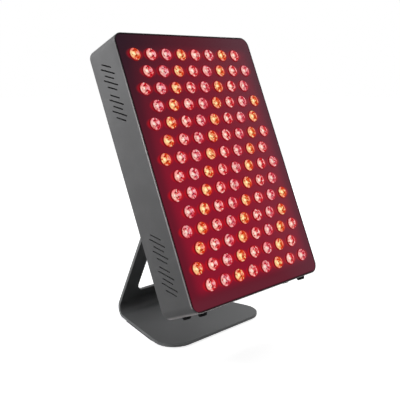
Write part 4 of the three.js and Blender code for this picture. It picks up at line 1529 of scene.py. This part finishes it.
class LAMPPANEL_OT_switches(PieceOperator):
    """Build the two rocker switches, each a body with a bezel and a rocker with its marks"""

    bl_idname = "lamp_panel.switches"
    bl_label = "Switches"

    def build(self, scene):
        """Model one switch, and set both out."""
        depths = Depths(scene)
        body = self.body(depths)
        rocker = self.rocker(scene)
        for side in ("left", "right"):
            centre = on_face(scene, joint(f"switch_{side}_rock")["pos_m"])
            place = face_place(scene) @ Matrix.Translation((centre.x, centre.y, 0))
            piece = copied(body, f"switch_case_{side}")
            fit(piece, place, plastic(scene), "panel", "black_plastic", f"switch_body_{side}")
            tilted = Matrix.Translation((0, 0, -depths.outside)) @ Matrix.Rotation(math.radians(7), 4, "X")
            piece = copied(rocker, f"rocker_{side}")
            fit(piece, place @ tilted, None, f"switch_rocker_{side}", "rocker", f"switch_rocker_{side}")
        bpy.data.objects.remove(body)
        bpy.data.objects.remove(rocker)

    @staticmethod
    def body(depths):
        """A case with a bezel and a pocket for the rocker."""
        out = depths.outside
        bezel = rounded_block("switch", 15 * MM, 21.8 * MM, 1.5 * MM, out, out + 2 * MM, segments=4)
        soften(bezel, 0.35 * MM, 2, 40)
        weld(bezel, block("case", (12.8 * MM, 19.6 * MM, 16 * MM), (0, 0, -(out + 1 * MM) + 8 * MM)))
        cut(bezel, block("pocket", (10.2 * MM, 17 * MM, 8 * MM), (0, 0, -(out + 3.6 * MM) + 3.2 * MM)))
        return smooth(bezel, 38)

    @staticmethod
    def rocker(scene):
        """A rocker about its own pivot: two faces that meet in a shallow valley, a bar and a ring on them."""
        half = 7.5 * MM
        top = 3.6 * MM
        drop = 3.4 * MM
        cap = block("rocker", (9.6 * MM, 2 * half, top + drop), (0, 0, -(top - drop) / 2))
        divided(cap, 1)
        valley = 1.6 * MM
        moved(cap, lambda vertex: abs(vertex.co.y) < NEAR and vertex.co.z < 0, valley)
        bevelled(
            cap,
            lambda edge: along_x(edge) and edge.verts[0].co.z > drop - NEAR and edge.verts[0].co.y != 0,
            1.7 * MM,
        )
        soften(cap, 0.4 * MM, 2, 24)
        cap.data.materials.append(rocker_plastic(scene))
        slope = math.atan2(valley, half)
        at = 4.1 * MM
        level = -(top - valley + valley * at / half)
        stroke = block("bar mark", (0.8 * MM, 3.4 * MM, 0.24 * MM))
        stroke.rotation_euler = (-slope, 0, 0)
        settle(stroke, Matrix.Translation((0, at, level)))
        circle = ring("ring mark", 3.6 * MM, 0.8 * MM, 0, sides=20)
        circle.scale = (1, 1, 0.3)
        circle.rotation_euler = (slope, 0, 0)
        settle(circle, Matrix.Translation((0, -at, level)))
        for mark in (stroke, circle):
            mark.data.materials.append(mark_paint(scene))
        return joined("rocker", [cap, stroke, circle])


class LAMPPANEL_OT_inlet(PieceOperator):
    """Build the mains inlet with its socket and three pins"""

    bl_idname = "lamp_panel.inlet"
    bl_label = "Mains inlet"

    def build(self, scene):
        """Model the inlet."""
        out = Depths(scene).outside
        centre = on_face(scene, middle("power_inlet"))
        rim = 2.5 * MM
        case_depth = 17.7 * MM
        pocket_depth = 16.5 * MM
        back = out + rim
        flange = rounded_block("inlet", 33.5 * MM, 25.5 * MM, 2 * MM, out, back, segments=4)
        soften(flange, 0.4 * MM, 2, 40)
        weld(flange, block("case", (28.5 * MM, 20.5 * MM, case_depth), (0, 0, -(back - rim / 2) + case_depth / 2)))
        pocket = block("pocket", (24.6 * MM, 16.6 * MM, pocket_depth), (0, 0, -(back + MM) + pocket_depth / 2))
        bevelled(pocket, upright_behind(0), 4.5 * MM)
        cut(flange, pocket)
        smooth(flange, 38)
        place = face_place(scene) @ Matrix.Translation((centre.x, centre.y, 0))
        fit(flange, place, plastic(scene), "panel", "black_plastic", "power_inlet")
        floor = back - 15.5 * MM
        pins = []
        for x, y in ((-7, -2), (7, -2), (0, 2.2)):
            pin = block("pin", (2 * MM, 4 * MM, 12.5 * MM), (x * MM, y * MM, -floor - 5.75 * MM))
            pins.append(soften(pin, 0.5 * MM, 2, 40))
        fit(joined("inlet_pins", pins), place, steel(scene), "panel", "zinc_steel")


class LAMPPANEL_OT_bracket(PieceOperator):
    """Build the tilt bracket with its two ears, and its four screws"""

    bl_idname = "lamp_panel.bracket"
    bl_label = "Tilt bracket"

    def build(self, scene):
        """Model the bracket and one screw."""
        out = Depths(scene).outside
        low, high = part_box("tilt_bracket")
        outer = (high.x - low.x) / 2
        sheet = 3 * MM
        height = 44 * MM
        end = 20 * MM
        axis = on_face(scene, HINGE)
        base = block("bracket", (high.x - low.x, height, sheet), (0, axis.y, -(out + sheet / 2)))
        for side, inner_x, outer_x in ((-1, -outer, -outer + sheet), (1, outer - sheet, outer)):
            centre = (side * (outer - sheet / 2), axis.y, (axis.z - out) / 2)
            ear = block("ear", (sheet, height, -axis.z - out), centre)
            stretched(ear, lambda vertex: vertex.co.z < axis.z + NEAR, (1, end / height, 1))
            cap = bar("ear end", end, inner_x, outer_x, 48)
            weld(ear, settle(cap, Matrix.Translation((0, axis.y, axis.z))))
            weld(base, ear)
        bore = rod_bore(scene, -outer - MM, outer + MM)
        cut(base, settle(bore, Matrix.Translation((0, axis.y, axis.z))))
        for x, y in bracket_screw_places(scene):
            cut(base, disc("bore", BRACKET_BORE, out - MM, out + sheet + MM, x, y, 16))
        soften(base, 0.5 * MM, 2, 40)
        fit(base, face_place(scene), paint(scene), "panel", "grey_paint", "tilt_bracket")
        seat = out + 3.3 * MM
        screw = pan_screw("screw", 7.6 * MM, 4 * MM, seat, 2.4 * MM, Depths(scene).rear_cover - 3.3 * MM)
        for i, (x, y) in enumerate(bracket_screw_places(scene), 1):
            place = face_place(scene) @ Matrix.Translation((x, y, 0))
            piece = copied(screw, f"pan_screw_{i}")
            fit(piece, place, steel(scene), "panel", "zinc_steel", f"bracket_screw_{i}")
        bpy.data.objects.remove(screw)


class LAMPPANEL_OT_feet(PieceOperator):
    """Build the four rubber feet under the housing"""

    bl_idname = "lamp_panel.feet"
    bl_label = "Rubber feet"

    def build(self, scene):
        """Model one foot along Z, and turn its copies down the panel."""
        height = 4 * MM
        foot = disc("foot", 11 * MM, 0, height, sides=32)
        narrowing = 9 / 11
        stretched(foot, lambda vertex: vertex.co.z < -height + NEAR, (narrowing, narrowing, 1))
        soften(foot, 0.8 * MM, 3, 40)
        cut(foot, disc("recess", 4.4 * MM, height - 1.6 * MM, height + MM, sides=20))
        smooth(foot, 38)
        down = Matrix.Rotation(-math.pi / 2, 4, "X")
        bottom = -scene.housing_sizes.height / 2 - scene.housing_sizes.clearance
        for end in ("front", "rear"):
            for side in ("left", "right"):
                node = f"foot_{end}_{side}"
                centre = on_face(scene, middle(node))
                place = face_place(scene) @ Matrix.Translation((centre.x, bottom, centre.z)) @ down
                piece = copied(foot, f"rubber_{node}")
                fit(piece, place, rubber(scene), "panel", "rubber", node)
        bpy.data.objects.remove(foot)


def arm_start(stand):
    """How far along the plate the arm starts, from the front edge and along the middle of the bend."""
    return stand.base_length + (stand.bend + stand.thickness / 2) * BEND_TURN


def plate_half_width(stand, reach):
    """Half the width of the stand's plate at a length along it from its front edge."""
    end = arm_start(stand)
    return stand.front_width / 2 - min(reach, end) * BASE_TAPER - max(reach - end, 0) * ARM_TAPER


def round_corner(piece, test, radius, slant):
    """Round upright edges whose corner is narrower than square by the slant, with a true arc."""
    half = (math.pi / 2 - slant) / 2
    tangent = radius / math.tan(half)
    share = radius * (1 / math.sin(half) - 1) / (2 * tangent * math.cos(half))
    pick(piece, "EDGE", test)
    bpy.ops.mesh.bevel(
        offset=tangent, offset_type="ABSOLUTE", segments=8, profile=(1 - share) ** 2, affect="EDGES"
    )
    return done(piece)


class LAMPPANEL_OT_stand(PieceOperator):
    """Build the stand: one tapered plate with a bend, a window in its arm and a hinge barrel"""

    bl_idname = "lamp_panel.stand"
    bl_label = "Stand"

    def build(self, scene):
        """Model the plate from its flat base up."""
        stand = scene.stand_sizes
        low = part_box("stand_plate")[0]
        front, bottom = low.y, low.z
        half = plate_half_width(stand, 0)
        bend_y = front + stand.base_length
        centre = (0, (front + bend_y) / 2, bottom + stand.thickness / 2)
        plate = block("stand", (2 * half, stand.base_length, stand.thickness), centre)
        narrowing = plate_half_width(stand, stand.base_length) / half
        stretched(plate, lambda vertex: vertex.co.y > bend_y - NEAR, (narrowing, 1, 1))
        round_corner(plate, upright_before(front), stand.corner, math.atan(BASE_TAPER))
        self.bend(plate, stand, bend_y, bottom)
        self.taper(plate, stand, bend_y, bottom)
        cut(plate, self.window(scene))
        half_washer = 0.75 * MM
        gap = 0.3 * MM
        reach = middle("friction_washer_right").x - half_washer - gap
        barrel = bar("barrel", stand.barrel, -reach, reach, 48)
        weld(plate, settle(barrel, Matrix.Translation(HINGE)))
        cut(plate, settle(rod_bore(scene, -reach - MM, reach + MM), Matrix.Translation(HINGE)))
        soften(plate, 0.45 * MM, 2, 30)
        front_end = front + stand.corner

        def on_cut_edge(face):
            on_front = face.calc_center_median().y < front_end and abs(face.normal.z) < 0.5
            return on_front or abs(face.normal.x) > 0.5

        # The cut edges get the lighter paint, a painted highlight
        second_finish(plate, paint(scene), cut_edge_highlight_paint(scene), on_cut_edge)
        fit(plate, Matrix.Identity(4), None, "stand", "grey_paint", "stand_plate")

    @staticmethod
    def bend(plate, stand, bend_y, bottom):
        """Spin the open back end round the bend, and draw the arm out of it."""
        pick(plate, "FACE", faces_to((0, 1, 0)))
        bpy.ops.mesh.delete(type="ONLY_FACE")
        done(plate)
        pick(plate, "EDGE", lambda edge: edge.is_boundary)
        inner = stand.bend + stand.thickness
        bpy.ops.mesh.spin(
            steps=BEND_STEPS, angle=-BEND_TURN, center=(0, bend_y, bottom + inner), axis=(1, 0, 0)
        )
        bpy.ops.mesh.extrude_region_move(TRANSFORM_OT_translate={"value": UP_ARM * stand.arm_length})
        bpy.ops.mesh.edge_face_add()
        done(plate, outwards=True)

    @staticmethod
    def taper(plate, stand, bend_y, bottom):
        """Narrow each ring of the bend and the arm's end to the width that the taper gives there."""
        start = plate_half_width(stand, stand.base_length)
        middle_radius = stand.bend + stand.thickness / 2
        centre = Vector((0, bend_y, bottom + stand.bend + stand.thickness))

        def narrow(test, reach):
            stretched(plate, test, (plate_half_width(stand, reach) / start, 1, 1))

        for step in range(1, BEND_STEPS + 1):
            angle = BEND_TURN * step / BEND_STEPS
            spoke = Vector((0, math.sin(angle), -math.cos(angle)))

            def on_ring(vertex, spoke=spoke):
                offset = vertex.co - centre
                return (
                    abs(offset.y * spoke.z - offset.z * spoke.y) < 2 * NEAR
                    and offset.dot(spoke) > 0
                    and offset.yz.length < stand.bend + stand.thickness + NEAR
                )

            narrow(on_ring, stand.base_length + middle_radius * angle)
        narrow(
            lambda vertex: (vertex.co - centre).dot(UP_ARM) > stand.arm_length - 10 * NEAR,
            arm_start(stand) + stand.arm_length,
        )

    @staticmethod
    def window(scene):
        """The tool that cuts the arm's window: a tapered block with rounded corners."""
        stand = scene.stand_sizes
        sill = stand.sill
        head = stand.arm_length - stand.head

        def half_at(reach):
            return plate_half_width(stand, arm_start(stand) + reach) - stand.strip

        tool = block(
            "window",
            (2 * half_at(sill), head - sill, stand.thickness + 2 * MM),
            (0, (sill + head) / 2, stand.thickness / 2),
        )
        stretched(tool, lambda vertex: vertex.co.y > head - NEAR, (half_at(head) / half_at(sill), 1, 1))
        slant = math.atan(ARM_TAPER)
        round_corner(tool, upright_before(sill), stand.window_corner, slant)
        upper = min(stand.window_corner, half_at(head) * math.cos(slant) / 2)
        round_corner(tool, upright_behind(head), upper, -slant)
        return settle(tool, arm_place(scene))


class LAMPPANEL_OT_base_pad(PieceOperator):
    """Build the rubber pad under the base"""

    bl_idname = "lamp_panel.base_pad"
    bl_label = "Base pad"

    def build(self, scene):
        """Model the pad."""
        stand = scene.stand_sizes
        low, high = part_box("base_pad")
        stand_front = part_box("stand_plate")[0].y
        inset = 0.4 * MM
        front_half = plate_half_width(stand, low.y - stand_front) - inset
        back_half = plate_half_width(stand, high.y - stand_front) - inset
        centre = (0, (low.y + high.y) / 2, stand.pad / 2)
        pad = block("rubber_base_pad", (2 * front_half, high.y - low.y, stand.pad), centre)
        stretched(pad, lambda vertex: vertex.co.y > high.y - NEAR, (back_half / front_half, 1, 1))
        corner = 34 * MM
        round_corner(pad, upright_before(low.y), corner, math.atan(BASE_TAPER))
        soften(pad, 0.25 * MM, 2, 40)
        fit(pad, Matrix.Identity(4), rubber(scene), "stand", "rubber", "base_pad")


class LAMPPANEL_OT_hinge(PieceOperator):
    """Build the hinge's rod, washers and lobed clamp knobs"""

    bl_idname = "lamp_panel.hinge"
    bl_label = "Hinge"

    def build(self, scene):
        """Model the rod, one washer and one knob, and set them out."""
        place = Matrix.Translation(HINGE)
        low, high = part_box("hinge_rod")
        rod = bar("clamp_rod", scene.stand_sizes.rod, low.x, high.x, 32)
        soften(rod, 0.6 * MM, 1, 40)
        fit(rod, place, steel(scene), "stand", "zinc_steel", "hinge_rod")
        for node in ("friction_washer", "knob_washer"):
            for side in ("left", "right"):
                low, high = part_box(f"{node}_{side}")
                washer = bar(f"{node}_{side}_ring", 19 * MM, low.x, high.x, 48)
                cut(washer, rod_bore(scene, low.x - MM, high.x + MM))
                soften(washer, 0.25 * MM, 2, 40)
                fit(washer, place, steel(scene), "stand", "zinc_steel", f"{node}_{side}")
        knob = self.knob(scene)
        for side, turned in (("right", Matrix.Identity(4)), ("left", Matrix.Rotation(math.pi, 4, "Z"))):
            piece = copied(knob, f"clamp_knob_{side}")
            fit(piece, place @ turned, plastic(scene), f"knob_{side}", "black_plastic", f"knob_{side}")
        bpy.data.objects.remove(knob)

    @staticmethod
    def knob(scene):
        """A grip with six lobes and a shallow dish in its face, a hub and a blind bore."""
        stand = scene.stand_sizes
        low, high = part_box("knob_right")
        inside, outside = low.x, high.x
        grip_inside = outside - 13 * MM
        lobes = 6
        lobe = 1.6 * MM
        scoop = 10 * MM
        grip = bar("knob", stand.knob, grip_inside, outside, 72)
        reach = stand.knob / 2 - lobe + scoop / 2
        scoops = []
        for i in range(lobes):
            angle = 2 * math.pi * (i + 0.5) / lobes
            tool = bar("scoop", scoop, grip_inside - MM, outside + MM, 32)
            place = Matrix.Translation((0, reach * math.cos(angle), reach * math.sin(angle)))
            scoops.append(settle(tool, place))
        cut(grip, joined("scoops", scoops))
        soften(grip, 1.2 * MM, 3, 40)
        rim = 2.2 * MM
        dish = bar("dish", stand.knob - 2 * (lobe + rim), outside - 0.7 * MM, outside + MM, 48)
        cut(grip, dish)
        hub = bar("hub", 20 * MM, inside, grip_inside + 2.5 * MM, 48)
        soften(hub, 0.5 * MM, 2, 40)
        weld(grip, hub)
        rod_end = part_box("hinge_rod")[1].x + 0.3 * MM
        cut(grip, rod_bore(scene, inside - MM, rod_end))
        return smooth(grip, 38)


class LAMPPANEL_OT_inner_parts(PieceOperator):
    """Give the parts inside the housing their finishes"""

    bl_idname = "lamp_panel.inner_parts"
    bl_label = "Inner parts"

    def build(self, scene):
        """Assign materials to the CAD nodes that stay as they are."""
        finishes = {
            "led_board": board_lacquer(),
            "heat_sink": aluminium(scene),
            "led_driver_left": aluminium(scene),
            "led_driver_right": aluminium(scene),
        }
        for node, finish in finishes.items():
            piece = frame["nodes"][node]
            if not piece.data.materials:
                piece.data.materials.append(finish)
            for slot in piece.material_slots:
                slot.material = finish


# How bright the white floor and surroundings are where gloss shows them
WHITE_IN_GLOSS = 0.4


class LAMPPANEL_OT_stage(PieceOperator):
    """Build the floor, the lights, the world and the camera"""

    bl_idname = "lamp_panel.stage"
    bl_label = "Stage"

    def build(self, scene):
        """Set out the studio."""
        look = scene.stage_look
        self.floor(look)
        self.lamp("key light", look.key, 0.4, (-0.62, 0.5, 0.68))
        self.lamp("side light", look.side, 0.15, (-0.38, 0.12, 0.36), glossy=False)
        self.lamp("top light", look.top, 0.9, (-0.3, 0.4, 1.4))
        self.lamp("fill light", look.fill, 0.8, (1.0, 0.2, 0.7))
        self.world(scene, look)
        camera = bpy.data.cameras.new("camera")
        camera.lens = look.focal
        camera.sensor_width = 36
        camera.clip_start = 0.01
        eye = bpy.data.objects.new("camera", camera)
        eye.location = look.place
        eye.rotation_euler = look.aim
        scene.collection.objects.link(eye)
        scene.camera = eye
        scene.view_settings.view_transform = "Standard"

    @staticmethod
    def floor(look):
        """A wide pale floor that the camera sees as white outside the shadow."""
        deselect()
        bpy.ops.mesh.primitive_plane_add(size=12, location=(0, 0, 0))
        floor = bpy.context.object
        floor.name = "floor"
        material, wires, shader, point = Finishes.blank("pale floor", Roughness=0.9, Specular_IOR_Level=0.0)
        stain = wires.ramped(wires.noise(point, 3.0), 0.3, 0.7, 0.0, 0.1)
        wires.put(shader["Base Color"], wires.mixed(stain, look.floor, shade(202, 202, 202)))
        rays = wires.add("ShaderNodeLightPath").outputs
        seen = wires.larger(rays["Is Camera Ray"], wires.times(rays["Is Glossy Ray"], WHITE_IN_GLOSS))
        level = wires.times(seen, wires.ramped(wires.vector_length(point), 0.15, 0.8, 0.86, 1.0))
        wires.put(shader["Emission Color"], wires.mixed(level, (0, 0, 0, 1), (1, 1, 1, 1)))
        shader["Emission Strength"].default_value = 1.0
        floor.data.materials.append(material)

    @staticmethod
    def lamp(name, watts, size, place, glossy=True):
        """A square soft light that looks at the middle of the panel, with or without a reflection in gloss."""
        light = bpy.data.lights.new(name, "AREA")
        light.energy = watts
        light.size = size
        lamp = bpy.data.objects.new(name, light)
        lamp.visible_camera = False
        lamp.visible_glossy = glossy
        lamp.location = place
        panel_middle = Vector((0, 0, 0.18))
        lamp.rotation_euler = (panel_middle - Vector(place)).to_track_quat("-Z", "Y").to_euler()
        bpy.context.scene.collection.objects.link(lamp)

    @staticmethod
    def world(scene, look):
        """Even light from all round, white where the camera, metal or glass sees it."""
        world = bpy.data.worlds.new("studio")
        world.use_nodes = True
        scene.world = world
        wires = Wiring(world.node_tree)
        background = world.node_tree.nodes["Background"]
        rays = wires.add("ShaderNodeLightPath").outputs
        seen = wires.larger(rays["Is Camera Ray"], rays["Is Transmission Ray"])
        glossy = wires.times(rays["Is Glossy Ray"], WHITE_IN_GLOSS)
        level = wires.larger(wires.larger(seen, glossy), look.room)
        wires.put(background.inputs["Strength"], level)
        background.inputs["Color"].default_value = (1, 1, 1, 1)


PIECE_OPERATORS = (
    LAMPPANEL_OT_housing,
    LAMPPANEL_OT_front_plate,
    LAMPPANEL_OT_lenses,
    LAMPPANEL_OT_back_plate,
    LAMPPANEL_OT_fans,
    LAMPPANEL_OT_switches,
    LAMPPANEL_OT_inlet,
    LAMPPANEL_OT_bracket,
    LAMPPANEL_OT_feet,
    LAMPPANEL_OT_stand,
    LAMPPANEL_OT_base_pad,
    LAMPPANEL_OT_hinge,
    LAMPPANEL_OT_inner_parts,
    LAMPPANEL_OT_stage,
)


class LAMPPANEL_PT_sidebar(bpy.types.Panel):
    """Lists the operators in the sidebar of the 3D view"""

    bl_idname = "LAMPPANEL_PT_sidebar"
    bl_label = "Lamp panel"
    bl_space_type = "VIEW_3D"
    bl_region_type = "UI"
    bl_category = "Lamp panel"

    def draw(self, context):
        """One button for each operator."""
        for operator in PIECE_OPERATORS:
            self.layout.operator(operator.bl_idname)


SETTINGS = {
    "housing_sizes": HousingSizes,
    "lamp_sizes": LampSizes,
    "stand_sizes": StandSizes,
    "fan_sizes": FanSizes,
    "finish_colours": FinishColours,
    "stage_look": StageLook,
}


def register():
    """Register the classes and hang the settings on the scene."""
    for name, group in SETTINGS.items():
        bpy.utils.register_class(group)
        setattr(bpy.types.Scene, name, PointerProperty(type=group))
    for operator in PIECE_OPERATORS:
        bpy.utils.register_class(operator)
    bpy.utils.register_class(LAMPPANEL_PT_sidebar)


def unregister():
    """Undo register."""
    bpy.utils.unregister_class(LAMPPANEL_PT_sidebar)
    for operator in reversed(PIECE_OPERATORS):
        bpy.utils.unregister_class(operator)
    for name, group in reversed(SETTINGS.items()):
        delattr(bpy.types.Scene, name)
        bpy.utils.unregister_class(group)


def main():
    """Build everything around the frame."""
    register()
    Finishes.prepare(bpy.context.scene)
    for operator in PIECE_OPERATORS:
        group, name = operator.bl_idname.split(".")
        getattr(getattr(bpy.ops, group), name)()
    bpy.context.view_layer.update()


if __name__ == "__main__":
    main()
